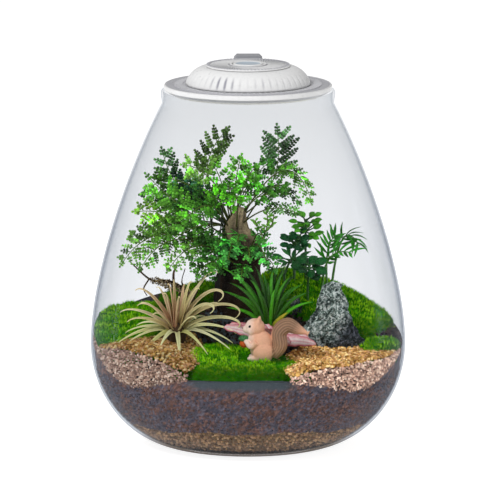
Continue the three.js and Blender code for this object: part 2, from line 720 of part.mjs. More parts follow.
// Air plant: a rosette of keeled leaves that curl outwards from a bulb.
const AIR_PLANT = { x: -43, y: -32, z: 65, heart: 12, leaves: 20, length: 41, width: 5 };
const airPlantBulb = (grow = 0) =>
  ball(AIR_PLANT.x, AIR_PLANT.y, AIR_PLANT.z + 7, 6 + grow, 6 + grow, 8 + grow);
function airPlant() {
  const { x, y, z, heart, leaves, length, width } = AIR_PLANT;
  const next = seeded(7);
  const leaf = (i) => {
    const t = i / (leaves - 1);
    const bearing = i * GOLDEN_ANGLE;
    const back = max(sin(bearing), 0);
    const outward = max(-cos(bearing - 0.6), 0);
    const reach = length * (0.8 + 0.25 * next()) * (1 - 0.3 * back - 0.18 * outward);
    return rosetteLeaf({
      root: v3(x + 2.5 * t * cos(bearing), y + 2.5 * t * sin(bearing), z + heart - 2.5 * t),
      bearing,
      rise: rad(lerp(82, -2, t ** 0.8) + 24 * back * t),
      reach,
      arch: reach * 0.12,
      fall: reach * (0.06 + 0.12 * next()),
      width,
      keel: 1.5,
      steps: 3,
    });
  };
  return join([airPlantBulb(), ...Array.from({ length: leaves }, (_, i) => leaf(i))]);
}

// Grass tuft: dark straps that fan up and out of one root.
const GRASS = { x: 12, y: -18, blades: 11, length: 44, width: 4.4 };
function grassTuft() {
  const { x, y, blades, length, width } = GRASS;
  const next = seeded(21);
  const low = v3(...rooted([x, y]));
  const high = low.clone().setZ(low.z + ROOT + 6.5);
  const blade = (i) => {
    const t = (i + 1) / blades;
    const spread = (i % 2 ? 1 : -1) * t;
    const tilt = rad(90 - 48 * abs(spread));
    return rosetteLeaf({
      root: v3(x + 2.6 * spread, y + 1.3 * (next() - 0.5), high.z - 2.5),
      bearing: (spread > 0 ? 0 : PI) + 0.5 * (next() - 0.5),
      rise: tilt,
      reach: length * (0.75 + 0.3 * next()),
      arch: 2,
      fall: 5 * t,
      width,
      keel: 1.2,
      steps: 3,
      face: v3(0, -1, 0.25),
    });
  };
  return join([tube([low, high], [2.4, 2.4], 8), ...Array.from({ length: blades }, (_, i) => blade(i))]);
}

// Earth star: a low rosette of pink, wave-edged leaves on a short stem.
const EARTH_STAR = { x: 13, y: -33.5, heart: 9, leaves: 8, length: 28, width: 8 };
function earthStar() {
  const { x, y, heart, leaves, length, width } = EARTH_STAR;
  const low = v3(...rooted([x, y]));
  const middle = low.clone().setZ(low.z + ROOT + heart);
  const leaf = (i) => {
    const turn = (2 * PI * (i + 0.5)) / leaves;
    const out = v3(cos(turn), sin(turn), 0);
    const side = v3(-sin(turn), cos(turn), 0);
    const reach = length * (0.28 + 0.72 * cos(turn) ** 2);
    const lift = cos(turn) < 0 ? 10 : 5;
    const from = middle.clone().setZ(middle.z - 0.6 - 1.4 * (i % 2)).addScaledVector(out, 1);
    const height = (t) => lift * t - 5 * t * t;
    const at = (t, wave) =>
      from.clone().addScaledVector(out, reach * t).addScaledVector(UP, height(t) + wave);
    const shape = [
      { t: 0, w: 0.25, wave: 0 },
      { t: 0.25, w: 0.85, wave: 0.7 },
      { t: 0.5, w: 0.8, wave: -0.7 },
      { t: 0.72, w: 0.8, wave: 0.6 },
    ];
    const points = [];
    const faces = [];
    for (const { t, w, wave } of shape) {
      const half = side.clone().multiplyScalar((w * width) / 2);
      points.push(at(t, wave).sub(half), at(t, wave).add(half));
      const a = points.length - 2;
      if (a) faces.push(a - 2, a, a + 1, a - 2, a + 1, a - 1);
    }
    const tip = points.push(at(1, 0)) - 1;
    faces.push(tip - 2, tip, tip - 1);
    return thicken(points, faces);
  };
  const stalk = tube([low, middle], [1.8, 2.2], 8);
  return join([stalk, ...Array.from({ length: leaves }, (_, i) => leaf(i))]);
}

// ---- Squirrel figurine, in its own frame: facing -X, its flat foot at z = 0 ----
const SQUIRREL = { x: 5, y: -53, z: 60.4, turn: -6, seat: { x: 34, y: 17, middle: 6 } };
function squirrelBody() {
  const paws = (sign) => [
    tube(
      curve(
        [
          [-1.5, sign * 5, 11],
          [-5, sign * 5, 8.8],
          [-7.4, sign * 2.6, 11.6],
        ],
        2,
      ),
      [2.4, 2.1, 1.4],
      6,
    ),
    ball(-4, sign * 4.2, 1.6, 5.2, 2, 1.8, 6),
    ball(2, sign * 3.8, 5.2, 6.2, 3.8, 6, 6),
    tube([v3(-1.6, sign * 2.8, 22), v3(-0.6, sign * 3.7, 27)], [2.4, 0.6], 5),
  ];
  const tail = curve(
    [
      [8, 0, 2.6],
      [12.4, 0, 9],
      [11, 0, 18],
      [17, 0, 23.5],
      [24, 0, 20.5],
      [31, 0, 17.5],
    ],
    8,
  );
  const whole = join([
    ball(0.6, 0, 9, 7.2, 6, 9.2, 8),
    ball(-3, 0, 20, 6, 5.2, 5.4, 8),
    ball(-7.8, 0, 18.8, 2.8, 2.5, 2.4, 6),
    ...paws(1),
    ...paws(-1),
    tube(tail, [3, 4, 4.6, 4.8, 4.9, 4.8, 4, 2.4, 0.5], 7, v3(0, 1, 0)),
  ]);
  return cut(whole, [box(80, 40, 20, 10, 0, -10)]);
}

// The acorn in its paws: an orange nut below a green cap, both flat where the paws hold them.
const ACORN = { x: -11.4, z: 10.6, back: -9.2 };
function acornHalf(radius, height, from, to) {
  const whole = ball(ACORN.x, 0, ACORN.z, radius, radius, height, 8);
  const depth = 10;
  return whole.intersect(box(depth, depth, to - from, ACORN.back - depth / 2, 0, ACORN.z + (from + to) / 2));
}

// ---- Assembly ----
const LOOKS = {
  glass: { color: "#dfe8ea", roughness: 0.04, transparent: true, opacity: 0.3 },
  lidWhite: { color: "#ececec", roughness: 0.35 },
  lidGrey: { color: "#8d9094", roughness: 0.5 },
  lamp: { color: "#f7f5ee", roughness: 0.6 },
  board: { color: "#3f7a4a", roughness: 0.5 },
  drainage: { color: "#8a7150", roughness: 0.95 },
  soil: { color: "#4a403d", roughness: 1 },
  gravel: { color: "#b58f6c", roughness: 0.95 },
  moss: { color: "#5d9a10", roughness: 1 },
  stone: { color: "#5f6a70", roughness: 0.85 },
  wood: { color: "#4d3d30", roughness: 0.9 },
  fern: { color: "#3f8a22", roughness: 0.6 },
  brightFern: { color: "#57b83a", roughness: 0.6 },
  darkLeaf: { color: "#1f6a2a", roughness: 0.5 },
  grass: { color: "#2c7a26", roughness: 0.5 },
  airPlant: { color: "#c0b17e", roughness: 0.8 },
  earthStar: { color: "#d98a92", roughness: 0.6 },
  resin: { color: "#d9a684", roughness: 0.55 },
  nut: { color: "#c8531f", roughness: 0.5 },
  cap: { color: "#4f8a52", roughness: 0.6 },
};
const materialOf = (look) => new THREE.MeshStandardMaterial({ metalness: 0, ...look });
const materials = Object.fromEntries(
  Object.entries(LOOKS).map(([name, look]) => [name, materialOf(look)]),
);

function add(group, name, body, material) {
  const mesh = new THREE.Mesh(geometryOf(body), materials[material]);
  mesh.name = name;
  group.add(mesh);
}

const terrarium = new THREE.Group();
add(terrarium, "glass_vessel", vessel(), "glass");

const lid = new THREE.Group();
lid.position.z = VESSEL.height;
add(lid, "lid_flange", lidFlange(), "lidWhite");
add(lid, "lid_dome", lidDome(), "lidWhite");
add(lid, "lid_top_plate", lidTopPlate(), "lidWhite");
add(lid, "lid_button", lidButton(), "lidGrey");
add(lid, "lid_socket", lidSocket(), "lidGrey");
add(lid, "lid_lamp_board", lidBoard(), "board");
add(lid, "lid_diffuser", lidDiffuser(), "lamp");
terrarium.add(lid);

// What stands in the ground is cut out of it with a clearance, so that nothing overlaps.
const hole = ([x, y], r) => {
  const foot = slopeHeight(x, y) - ROOT - GAP;
  return disc((r + GAP) / cos(PI / 6), foot, foot + 40, 6).translate(x, y, 0);
};
const buried = [
  ...Object.values(STONES).map((spec) => stone(spec, GAP)),
  driftwood(GAP),
  twig(GAP),
  airPlantBulb(GAP),
  hole([GRASS.x, GRASS.y], 2.4),
  hole([EARTH_STAR.x, EARTH_STAR.y], 2.2),
  ...Object.values(UMBRELLA_STEMS).map(({ root }) => hole(root, STALK)),
  ...Object.values(PALM_FRONDS).map(({ root }) => hole(root, STEM)),
];

const SOIL_RINGS = { steps: [0.28, 0.55, 0.8], sides: 24 };
const ripple = (x, y) => DRAINAGE_TOP - 0.4 + 0.4 * sin(0.2 * x) * cos(0.23 * y);
const soilBottom = () => DRAINAGE_TOP + GAP;
const drainage = layer(() => VESSEL.floor + GAP, ripple, { steps: [0.4, 0.75], sides: 24 });
add(terrarium, "drainage_gravel", drainage, "drainage");
add(terrarium, "soil", cut(layer(soilBottom, soilHeight, SOIL_RINGS), buried), "soil");

const inside = interior(GAP);
const aboveSoil = layer(soilBottom, soilHeight, { ...SOIL_RINGS, flare: 4 }).translate(0, 0, GAP);
const laid = [];
function lay(name, body, material, extra = []) {
  const trimmed = cut(body.intersect(inside), [aboveSoil, ...buried, ...laid, ...extra]);
  add(terrarium, name, largest(trimmed), material);
}
for (const [name, spec] of Object.entries(CUSHIONS)) {
  const { x, y, z, seat } = SQUIRREL;
  const pressed = box(seat.x, seat.y, 20, x + seat.middle, y, z - GAP + 10);
  lay(name, cushion(spec), "moss", name === "moss_front" ? [pressed] : []);
  laid.push(cushion(spec, GAP));
}
for (const [name, spec] of Object.entries(GRAVEL_BANDS)) lay(name, gravelBand(spec), "gravel");

for (const [name, spec] of Object.entries(STONES)) add(terrarium, name, stone(spec), "stone");
const growOnWood = [...Object.values(FERN_FRONDS), ...Object.values(APRON_FRONDS), SPRIG];
add(terrarium, "driftwood", cut(driftwood(), growOnWood.map(socket)), "wood");
add(terrarium, "twig", twig(), "wood");

for (const [name, spec] of Object.entries(FERN_FRONDS)) add(terrarium, `fern_${name}`, frond(spec), "fern");
for (const [name, spec] of Object.entries(APRON_FRONDS)) {
  add(terrarium, `fern_${name}`, frond(spec), "brightFern");
}
for (const [name, spec] of Object.entries(PALM_FRONDS)) add(terrarium, name, frond(spec), "darkLeaf");
Object.entries(UMBRELLA_STEMS).forEach(([name, spec], i) => {
  add(terrarium, name, umbrella(spec, 30 + i), "darkLeaf");
});
add(terrarium, "sprig", sprig(), "brightFern");
add(terrarium, "air_plant", airPlant(), "airPlant");
add(terrarium, "grass_tuft", grassTuft(), "grass");
add(terrarium, "earth_star", earthStar(), "earthStar");

const squirrel = new THREE.Group();
squirrel.position.set(SQUIRREL.x, SQUIRREL.y, SQUIRREL.z);
squirrel.rotation.z = rad(SQUIRREL.turn);
add(squirrel, "squirrel", squirrelBody(), "resin");
add(squirrel, "acorn_nut", acornHalf(3, 4, -4, -0.5), "nut");
add(squirrel, "acorn_cap", acornHalf(3.5, 3.4, -0.2, 3.4), "cap");
terrarium.add(squirrel);

export default terrarium;
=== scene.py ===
"""Looks of the glass plant terrarium: a teardrop glass vessel under a lamp lid, with layered
gravel and soil, moss, stones, driftwood, ferns and other small plants, and a resin squirrel.
Shapes are worked out in millimetres and become metres when a piece is made. The front is -Y."""

import random
from math import atan2, ceil, cos, exp, hypot, pi, radians, sin, sqrt

import bmesh
import bpy
from mathutils import Euler, Matrix, Vector, noise


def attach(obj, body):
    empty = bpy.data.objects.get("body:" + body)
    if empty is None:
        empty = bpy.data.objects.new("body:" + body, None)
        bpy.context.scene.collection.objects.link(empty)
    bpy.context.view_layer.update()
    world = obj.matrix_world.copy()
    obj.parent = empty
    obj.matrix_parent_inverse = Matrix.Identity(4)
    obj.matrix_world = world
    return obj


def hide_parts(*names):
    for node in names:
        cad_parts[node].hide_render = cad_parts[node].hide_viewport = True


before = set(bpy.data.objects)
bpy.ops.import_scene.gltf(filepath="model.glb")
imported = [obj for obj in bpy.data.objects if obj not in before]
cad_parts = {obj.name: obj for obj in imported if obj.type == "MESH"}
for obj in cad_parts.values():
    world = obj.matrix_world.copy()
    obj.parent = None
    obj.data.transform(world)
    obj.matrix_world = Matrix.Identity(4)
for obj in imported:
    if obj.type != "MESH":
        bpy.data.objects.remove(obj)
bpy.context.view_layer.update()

MM = 0.001
TAU = 2 * pi
UP = Vector((0, 0, 1))
GOLDEN_ANGLE = 2.4  # radians from one leaf to the next around a stem


# ---- Numbers and colours ----
def clamped(value):
    """A value held between 0 and 1."""
    return min(max(value, 0), 1)


def blended(values, share):
    """The value at a share of the way along a list of evenly spaced values."""
    at = share * (len(values) - 1)
    k = min(int(at), len(values) - 2)
    return values[k] + (values[k + 1] - values[k]) * (at - k)


def polar(radius, turn, z=0):
    """The point at a radius and a bearing about the vertical axis."""
    return Vector((radius * cos(turn), radius * sin(turn), z))


def circle(radius, z, sides):
    """Points evenly spaced around the vertical axis."""
    return [polar(radius, TAU * j / sides, z) for j in range(sides)]


def srgb(code):
    """A hex colour as linear red, green and blue."""
    parts = [int(code[i : i + 2], 16) / 255 for i in (1, 3, 5)]
    return tuple(c / 12.92 if c <= 0.04045 else ((c + 0.055) / 1.055) ** 2.4 for c in parts)


def mixed(a, b, t):
    """The colour that lies the share t of the way from a to b."""
    return tuple(x + (y - x) * t for x, y in zip(a, b))


def scaled(colour, factor):
    return tuple(c * factor for c in colour)


def palette(*codes):
    return [srgb(code) for code in codes]


DRAINAGE_GRAINS = palette("#a07c5c", "#b48e64", "#80624a", "#cca67a", "#68503c", "#8e7256", "#b89270")
DRAINAGE_SHADE = palette("#3c2a1a", "#2c1d12", "#4e3824", "#241810")
SOIL_RED = palette("#74564c", "#604842", "#86645a", "#5a4744")
SOIL_BLUE = palette("#5a555e", "#4a4852", "#706a74", "#57525c")
SOIL_BAND = srgb("#4c5459")
GROUND_CRUMBS = palette("#2c2420", "#3c302a", "#4b3c33", "#231d1b", "#57473c")
TOP_GRAINS = palette("#b88c4a", "#d4aa62", "#94682e", "#ecd296", "#745224", "#b0804c", "#cc9c6c")
WALL_GRAINS = palette("#bc9a88", "#ceac96", "#a48472", "#e0c2ac", "#f0d8c4", "#ac8c7a", "#907466")
MOSS = {"low": srgb("#50cc00"), "high": srgb("#b8f824")}
MOSS_DEEP = {"low": srgb("#4cb802"), "high": srgb("#a8ec1c")}
MOSS_HUMUS = srgb("#2c1f16")  # dark ground in the left moss, behind the air plant
BARK = {"dark": srgb("#15100d"), "mid": srgb("#3a2b20"), "light": srgb("#9a8a6c")}
STALK_GREEN = srgb("#6a8f34")
STALK_BROWN = srgb("#4a4a24")


# ---- Meshes ----
class Shape:
    """Points in millimetres, faces and a colour for each point, gathered for one piece."""

    def __init__(self):
        self.points = []
        self.faces = []
        self.tints = []

    def add(self, points, faces, tints):
        first = len(self.points)
        self.points += points
        self.faces += [[first + i for i in face] for face in faces]
        self.tints += tints if isinstance(tints, list) else [tints] * len(points)

    def grid(self, rows, tints, closed=False):
        """Rows of points with the same count, joined by four-sided faces."""
        n = len(rows[0])
        faces = []
        for r in range(len(rows) - 1):
            for i in range(n if closed else n - 1):
                k = (i + 1) % n
                faces.append([r * n + i, r * n + k, (r + 1) * n + k, (r + 1) * n + i])
        self.add([p for row in rows for p in row], faces, tints)


def link(made):
    """Puts an object in the scene."""
    bpy.context.scene.collection.objects.link(made)
    return made


def make_piece(name, shape, material, nodes=None, smooth=True, thickness=0.0, inside=True):
    """The mesh object of a shape: it stands for the CAD node of its own name, or for those given."""
    points = [kept_inside(p) for p in shape.points] if inside else shape.points
    mesh = bpy.data.meshes.new(name)
    mesh.from_pydata([Vector(p) * MM for p in points], [], shape.faces)
    mesh.validate()
    tint = mesh.color_attributes.new("tint", "FLOAT_COLOR", "POINT")
    tint.data.foreach_set("color", [c for rgb in shape.tints for c in (*rgb, 1.0)])
    mesh.materials.append(material)
    mesh.polygons.foreach_set("use_smooth", [smooth] * len(mesh.polygons))
    made = link(bpy.data.objects.new(name, mesh))
    if thickness:
        solid = made.modifiers.new("thickness", "SOLIDIFY")
        solid.thickness = thickness * MM
        solid.offset = 0
    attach(made, "root")
    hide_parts(*([name] if nodes is None else nodes))


def bezier(controls, steps):
    """Points along the Bezier curve of any number of control points."""
    path = []
    for s in range(steps + 1):
        t = s / steps
        level = [Vector(p) for p in controls]
        while len(level) > 1:
            level = [a.lerp(b, t) for a, b in zip(level, level[1:])]
        path.append(level[0])
    return path


def spline(controls, steps):
    """Points along a smooth curve that passes through its control points."""
    knots = [Vector(p) for p in controls]
    knots = [2 * knots[0] - knots[1], *knots, 2 * knots[-1] - knots[-2]]
    path = []
    for s in range(steps + 1):
        at = s / steps * (len(controls) - 1)
        i = min(int(at), len(controls) - 2)
        t = at - i
        a, b, c, d = knots[i : i + 4]
        place = 2 * b + (c - a) * t
        place += (2 * a - 5 * b + 4 * c - d) * t**2
        place += (3 * b - a - 3 * c + d) * t**3
        path.append(0.5 * place)
    return path


def frames_of(path, face):
    """For each point of a path: the point, the way along, the side, and the way that it faces."""
    frames = []
    for i, p in enumerate(path):
        along = (path[min(i + 1, len(path) - 1)] - path[max(i - 1, 0)]).normalized()
        side = along.cross(Vector(face)).normalized()
        frames.append((p, along, side, side.cross(along).normalized()))
    return frames


ACROSS = (0.1, -1, 0.05)  # a direction that no stem runs along


def tube(shape, path, radii, sides, tints, face=ACROSS):
    """A round stem along a path: its radii are spread evenly, and its tints are one or one each."""
    rows = []
    colours = []
    for i, (p, along, side, up) in enumerate(frames_of(path, face)):
        radius = blended(radii, i / (len(path) - 1))
        ways = [side * cos(TAU * j / sides) + up * sin(TAU * j / sides) for j in range(sides)]
        rows.append([p + way * radius for way in ways])
        colours += [tints[i] if isinstance(tints, list) else tints] * sides
    shape.grid(rows, colours, closed=True)
    first = len(shape.points) - len(path) * sides
    shape.faces.append([first + j for j in reversed(range(sides))])
    shape.faces.append([len(shape.points) - sides + j for j in range(sides)])


def ribbon(shape, path, face, widths, width, tints, fold=0.15, midrib=1.15):
    """A leaf along a path, with a folded middle: widths are its shares of the full width."""
    rows = []
    colours = []
    last = len(path) - 1
    for i, (p, along, side, up) in enumerate(frames_of(path, face)):
        half = width / 2 * blended(widths, i / last)
        lift = up * fold * half
        rows.append([p - side * half + lift, p, p + side * half + lift])
        tint = mixed(tints[0], tints[1], i / last)
        colours += [tint, scaled(tint, midrib), tint]
    shape.grid(rows, colours)


def leaf(shape, root, out, up, length, width, widths, tints, droop=0.2, fold=0.15, steps=6):
    """A leaf that leaves its root along a direction and bows down towards its tip."""
    out = Vector(out).normalized()
    shares = [i / steps for i in range(steps + 1)]
    path = [root + out * length * t - up * length * droop * t * t for t in shares]
    ribbon(shape, path, up, widths, width, tints, fold)


def lathe(shape, profile, sides, tints, base=0):
    """A line of (radius, height over a base, share of the tint) turned about the vertical axis."""
    colours = [mixed(*tints, share) for _, _, share in profile for _ in range(sides)]
    shape.grid([circle(r, base + z, sides) for r, z, _ in profile], colours, closed=True)


def ellipsoid(shape, centre, radii, tint, sides=24, rings=12):
    """A ball with a radius along each axis."""
    turns = [TAU * j / sides for j in range(sides)]
    rows = []
    for i in range(rings + 1):
        a = -pi / 2 + pi * i / rings
        r = max(cos(a), 0.001)
        z = sin(a) * radii[2]
        ways = [(cos(b) * r * radii[0], sin(b) * r * radii[1], z) for b in turns]
        rows.append([Vector(centre) + Vector(way) for way in ways])
    shape.grid(rows, tint, closed=True)


def make_grain():
    """The points and faces of a coarse ball with a radius of 1."""
    ball = bmesh.new()
    bmesh.ops.create_icosphere(ball, subdivisions=1, radius=1)
    points = [v.co.copy() for v in ball.verts]
    faces = [[v.index for v in f.verts] for f in ball.faces]
    ball.free()
    return points, faces


GRAIN_POINTS, GRAIN_FACES = make_grain()


def grain(shape, centre, size, colours, draw):
    """One angular grain: a ball of flat faces, squashed and turned at random."""
    turn = Euler([draw.uniform(0, TAU) for _ in range(3)]).to_matrix()
    half = Vector([size / 2 * draw.uniform(0.6, 1.15) for _ in range(3)])
    points = [Vector(centre) + turn @ Vector([p[k] * half[k] for k in range(3)]) for p in GRAIN_POINTS]
    shape.add(points, GRAIN_FACES, scaled(draw.choice(colours), draw.uniform(0.8, 1.2)))


# ---- Materials ----
def put(tree, node, values):
    """Sets a node's sockets: a socket is linked to another socket and holds any other value."""
    for key, value in values.items():
        if isinstance(value, bpy.types.NodeSocket):
            tree.links.new(value, node.inputs[key])
        else:
            node.inputs[key].default_value = value


def add_node(tree, kind, values, **settings):
    """A new shader node with its settings and the values of its sockets."""
    node = tree.nodes.new("ShaderNode" + kind)
    for key, value in settings.items():
        setattr(node, key, value)
    put(tree, node, values)
    return node


def mixture(tree, share, first, second, blend="MIX"):
    """The socket of two colours mixed by a share, where a mix's sockets 6 and 7 are its colours."""
    values = {0: share, 6: first, 7: second}
    return add_node(tree, "Mix", values, data_type="RGBA", blend_type=blend).outputs[2]


def ramp(tree, source, stops):
    """The socket of a colour ramp with (position, colour) stops in order."""
    node = add_node(tree, "ValToRGB", {"Fac": source})
    marks = node.color_ramp.elements
    marks[0].position = stops[0][0]
    marks[1].position = stops[-1][0]
    for position, _ in stops[1:-1]:
        marks.new(position)
    for mark, (_, colour) in zip(marks, stops):
        mark.color = (*colour, 1)
    return node.outputs["Color"]


def noise_of(tree, values):
    """The socket of a noise that is laid out over the object."""
    place = add_node(tree, "TexCoord", {}).outputs["Object"]
    return add_node(tree, "TexNoise", {"Vector": place, **values}).outputs["Fac"]


def show(tree, share, first, second):
    """Ends a material with two shaders mixed by a share."""
    both = add_node(tree, "MixShader", {0: share, 1: first.outputs[0], 2: second.outputs[0]})
    put(tree, tree.nodes["Material Output"], {"Surface": both.outputs[0]})


def new_material(name):
    """A material with its node tree and its main shader."""
    material = bpy.data.materials.new(name)
    material.use_nodes = True
    return material, material.node_tree, material.node_tree.nodes["Principled BSDF"]


def surface(name, roughness, grain_size, mottle, bump, tint=None, sheen=0, coat=0, clear=0, specular=0.5):
    """A material in one tint or the mesh's own, mottled and bumped by noise at a grain in mm."""
    material, tree, shader = new_material(name)
    speckle = noise_of(tree, {"Scale": 1 / (grain_size * MM), "Detail": 5})

    def ranged(low, high):
        limits = {"From Min": 0.3, "From Max": 0.7, "To Min": low, "To Max": high}
        return add_node(tree, "MapRange", {"Value": speckle, **limits}).outputs["Result"]

    colour = (*tint, 1) if tint else add_node(tree, "Attribute", {}, attribute_name="tint").outputs["Color"]
    shade = mixture(tree, 1, colour, ranged(1 - mottle, 1 + mottle), "MULTIPLY")
    height = {"Height": speckle, "Strength": bump, "Distance": grain_size * MM * 0.5}
    values = {
        "Base Color": shade,
        "Roughness": ranged(max(roughness - 0.1, 0.03), min(roughness + 0.1, 1)),
        "Normal": add_node(tree, "Bump", height).outputs["Normal"],
        "Sheen Weight": sheen,
        "Coat Weight": coat,
        "Coat Roughness": 0.15,
        "Specular IOR Level": specular,
    }
    put(tree, shader, values)
    if clear:
        show(tree, clear, shader, add_node(tree, "BsdfTranslucent", {"Color": shade}))
    return material


VEIN_NOISE = {"Scale": 430, "Detail": 8, "Roughness": 0.72, "Distortion": 0.9}
VEIN_STOPS = [(0.41, "#10181a"), (0.47, "#566762"), (0.52, "#a4b4ae"), (0.58, "#ffffff")]


def veined_stone():
    """Stone marbled in white, grey and green-black, over its own tint with its painted light and shade."""
    material = surface("stone", 0.75, 1.2, 0.3, 0.9)
    tree = material.node_tree
    shader = tree.nodes["Principled BSDF"]
    tint = shader.inputs["Base Color"].links[0].from_socket
    veins = ramp(tree, noise_of(tree, VEIN_NOISE), [(at, srgb(code)) for at, code in VEIN_STOPS])
    put(tree, shader, {"Base Color": mixture(tree, 1, tint, veins, "MULTIPLY")})
    return material


# What the glass lets through, from square on to edge on, at the neck and at the foot, where a dark brown is
# painted shade.
GLASS_STOPS = [
    (0, (0.898, 0.903, 0.91)),
    (0.3, (0.898, 0.903, 0.911)),
    (0.56, (0.874, 0.88, 0.89)),
    (0.75, (0.83, 0.838, 0.85)),
    (0.93, (0.6, 0.62, 0.65)),
    (1, (0.42, 0.43, 0.46)),
]
GLASS_NECK = (0.896, 0.902, 0.908, 1)
GLASS_FOOT_SHADE = (0.26, 0.2, 0.15, 1)


def clear_glass():
    """Clear glass: it darkens what lies behind it a little, most at its edges, turns dark brown at its foot
    as painted shade, and shines.
    """
    material, tree, shader = new_material("clear_glass")
    tree.nodes.remove(shader)
    facing = add_node(tree, "LayerWeight", {"Blend": 0.5}).outputs["Facing"]
    place = add_node(tree, "TexCoord", {}).outputs["Object"]
    height = add_node(tree, "SeparateXYZ", {0: place}).outputs["Z"]

    def risen(start, end, most=1):
        limits = {"From Min": start * MM, "From Max": end * MM, "To Max": most}
        return add_node(tree, "MapRange", {"Value": height, **limits}).outputs["Result"]

    wall = mixture(tree, risen(120, 200, 0.6), ramp(tree, facing, GLASS_STOPS), GLASS_NECK)
    # painted shade: towards its foot the glass lets through only a dark brown
    through = mixture(tree, risen(1, 7), GLASS_FOOT_SHADE, wall)
    see = add_node(tree, "BsdfTransparent", {"Color": through})
    shine = add_node(tree, "BsdfGlossy", {"Roughness": 0.06, "Color": (0.8, 0.86, 0.95, 1)})
    grazing = add_node(tree, "Math", {0: facing, 1: 4}, operation="POWER").outputs[0]
    gloss = add_node(tree, "MapRange", {"Value": grazing, "To Min": 0.002, "To Max": 0.12})
    show(tree, gloss.outputs["Result"], see, shine)
    return material


# ---- The vessel's wall ----
# The wall and the floor are drawn thin, because real glass bends what lies behind it out to the
# vessel's own outline.
VESSEL = {"height": 216, "belly": (95, 62), "foot": (43, 0), "neck": (51.8, 208), "wall": 0.9, "floor": 1.2}


def wall_path(inset, floor, steps=24):
    """The wall's line of (radius, height) from base to neck, moved in by an inset."""
    belly = VESSEL["belly"][0] - inset
    height = VESSEL["belly"][1]
    foot = VESSEL["foot"][0] - 1.5 * inset
    neck = (VESSEL["neck"][0] - inset, VESSEL["neck"][1])
    bowl = [(foot, floor), (72 - inset, floor + 2), (belly, 30 + inset / 2), (belly, height)]
    cone = [(belly, height), (belly, 100), (74 - inset, 165), neck]
    path = bezier([(r, z, 0) for r, z in bowl], steps) + bezier([(r, z, 0) for r, z in cone], steps)[1:]
    return [(p.x, p.y) for p in path]


INNER_WALL = wall_path(VESSEL["wall"], VESSEL["floor"])


def inner_radius(z):
    """The vessel's inner radius at a height."""
    if z <= INNER_WALL[0][1]:
        return INNER_WALL[0][0]
    for (r0, z0), (r1, z1) in zip(INNER_WALL, INNER_WALL[1:]):
        if z <= z1:
            return r0 + (r1 - r0) * (z - z0) / (z1 - z0)
    return INNER_WALL[-1][0]


def wall_radius(z, depth):
    """The radius of the places that lie at a depth behind the glass, measured square to it."""
    slope = inner_radius(z + 0.5) - inner_radius(z - 0.5)
    return inner_radius(z) - depth * sqrt(1 + slope * slope)


WALL_TOP = 240
WALL_STEPS = 4  # heights per mm at which the wall's radius is worked out beforehand
WALL_RADII = [inner_radius(z / WALL_STEPS) for z in range(WALL_TOP * WALL_STEPS)]
CLEARANCE = 0.2


def kept_inside(p):
    """A point of the planting, drawn in where it would touch the glass."""
    at = max(0, min(int(WALL_STEPS * p.z), len(WALL_RADII) - 1))
    limit = WALL_RADII[at] - CLEARANCE
    r = hypot(p.x, p.y)
    if r <= limit:
        return p
    return Vector((p.x * limit / r, p.y * limit / r, p.z))


# ---- Ground heights ----
SLOPE = {"front": 54, "rise": 26, "power": 1.6, "start": -85, "depth": 165}
# Hills, troughs and the tan gravel heaped at the glass: centre, height and two half widths.
HILLS = [(22, 40, 20, 24, 26), (-60, 28, 2.5, 26, 26), (-10, 2, 18, 34, 18), (-50, -45, 4, 26, 26)]
TROUGHS = [(-62, -50, -14, 21, 21), (60, -52, -13, 21, 21)]
BANKS = [(-66, -52, 9, 20, 20), (-46, -70, 5, 12, 10), (62, -56, 5, 20, 20), (38, -75, 5, 12, 10)]
GROUND_RADIUS = 85
DRAINAGE_TOP = 16.5
DRAINAGE_HEAP = 4.5  # mm by which the coarse gravel stands higher at the front


def swell(x, y, hills):
    """The height that a list of hills adds at a place."""
    height = 0
    for hx, hy, top, wide, deep in hills:
        height += top * exp(-((x - hx) ** 2) / (2 * wide * wide) - (y - hy) ** 2 / (2 * deep * deep))
    return height


def slope_height(x, y):
    """The planting's ground, which rises to the back."""
    t = clamped((y - SLOPE["start"]) / SLOPE["depth"])
    return SLOPE["front"] + SLOPE["rise"] * t ** SLOPE["power"] + swell(x, y, HILLS)


def soil_height(x, y):
    """The soil's top, which dips under the tan gravel."""
    return slope_height(x, y) + swell(x, y, TROUGHS)


def drainage_height(x, y):
    """The coarse gravel's top, with its ripples."""
    turn = atan2(y, x)
    ripple = 0.8 * sin(9 * turn) + 0.5 * sin(23 * turn)
    heap = DRAINAGE_HEAP * max(-y / GROUND_RADIUS, 0) ** 2
    return DRAINAGE_TOP + heap + ripple * min(hypot(x, y) / GROUND_RADIUS, 1)


def edge_radius(height, angle, clearance):
    """How far a layer reaches before it meets the glass, along one bearing."""
    r = 80
    for _ in range(6):
        r = wall_radius(height(r * cos(angle), r * sin(angle)), clearance)
    return r


def bed(shape, low, height, clearance, tint_at, sides=96, steps=6, uneven=0.0):
    """A closed bed of ground between two height functions, up against the glass."""
    bearings = [TAU * j / sides for j in range(sides)]

    def ring(share, level):
        points = []
        for a in bearings:
            r = share * edge_radius(level, a, clearance)
            points.append(polar(r, a, level(r * cos(a), r * sin(a))))
        return points

    lowest = ring(1, low)
    highest = ring(1, height)
    rows = [ring(f, low) for f in (0.01, 0.5, 0.9)] + [lowest]
    for f in (k / (steps + 1) for k in range(1, steps + 1)):
        row = []
        for a, p, q in zip(bearings, lowest, highest):
            z = p.z + (q.z - p.z) * f
            dent = uneven * (1 + noise.noise(Vector((70 * a, 0.8 * z, 0))))
            row.append(polar(wall_radius(z, clearance + dent), a, z))
        rows.append(row)
    inwards = (0.97, 0.9, 0.8, 0.7, 0.6, 0.5, 0.4, 0.3, 0.2, 0.1, 0.01)
    rows += [highest] + [ring(f, height) for f in inwards]
    shape.grid(rows, [tint_at(p) for row in rows for p in row], closed=True)


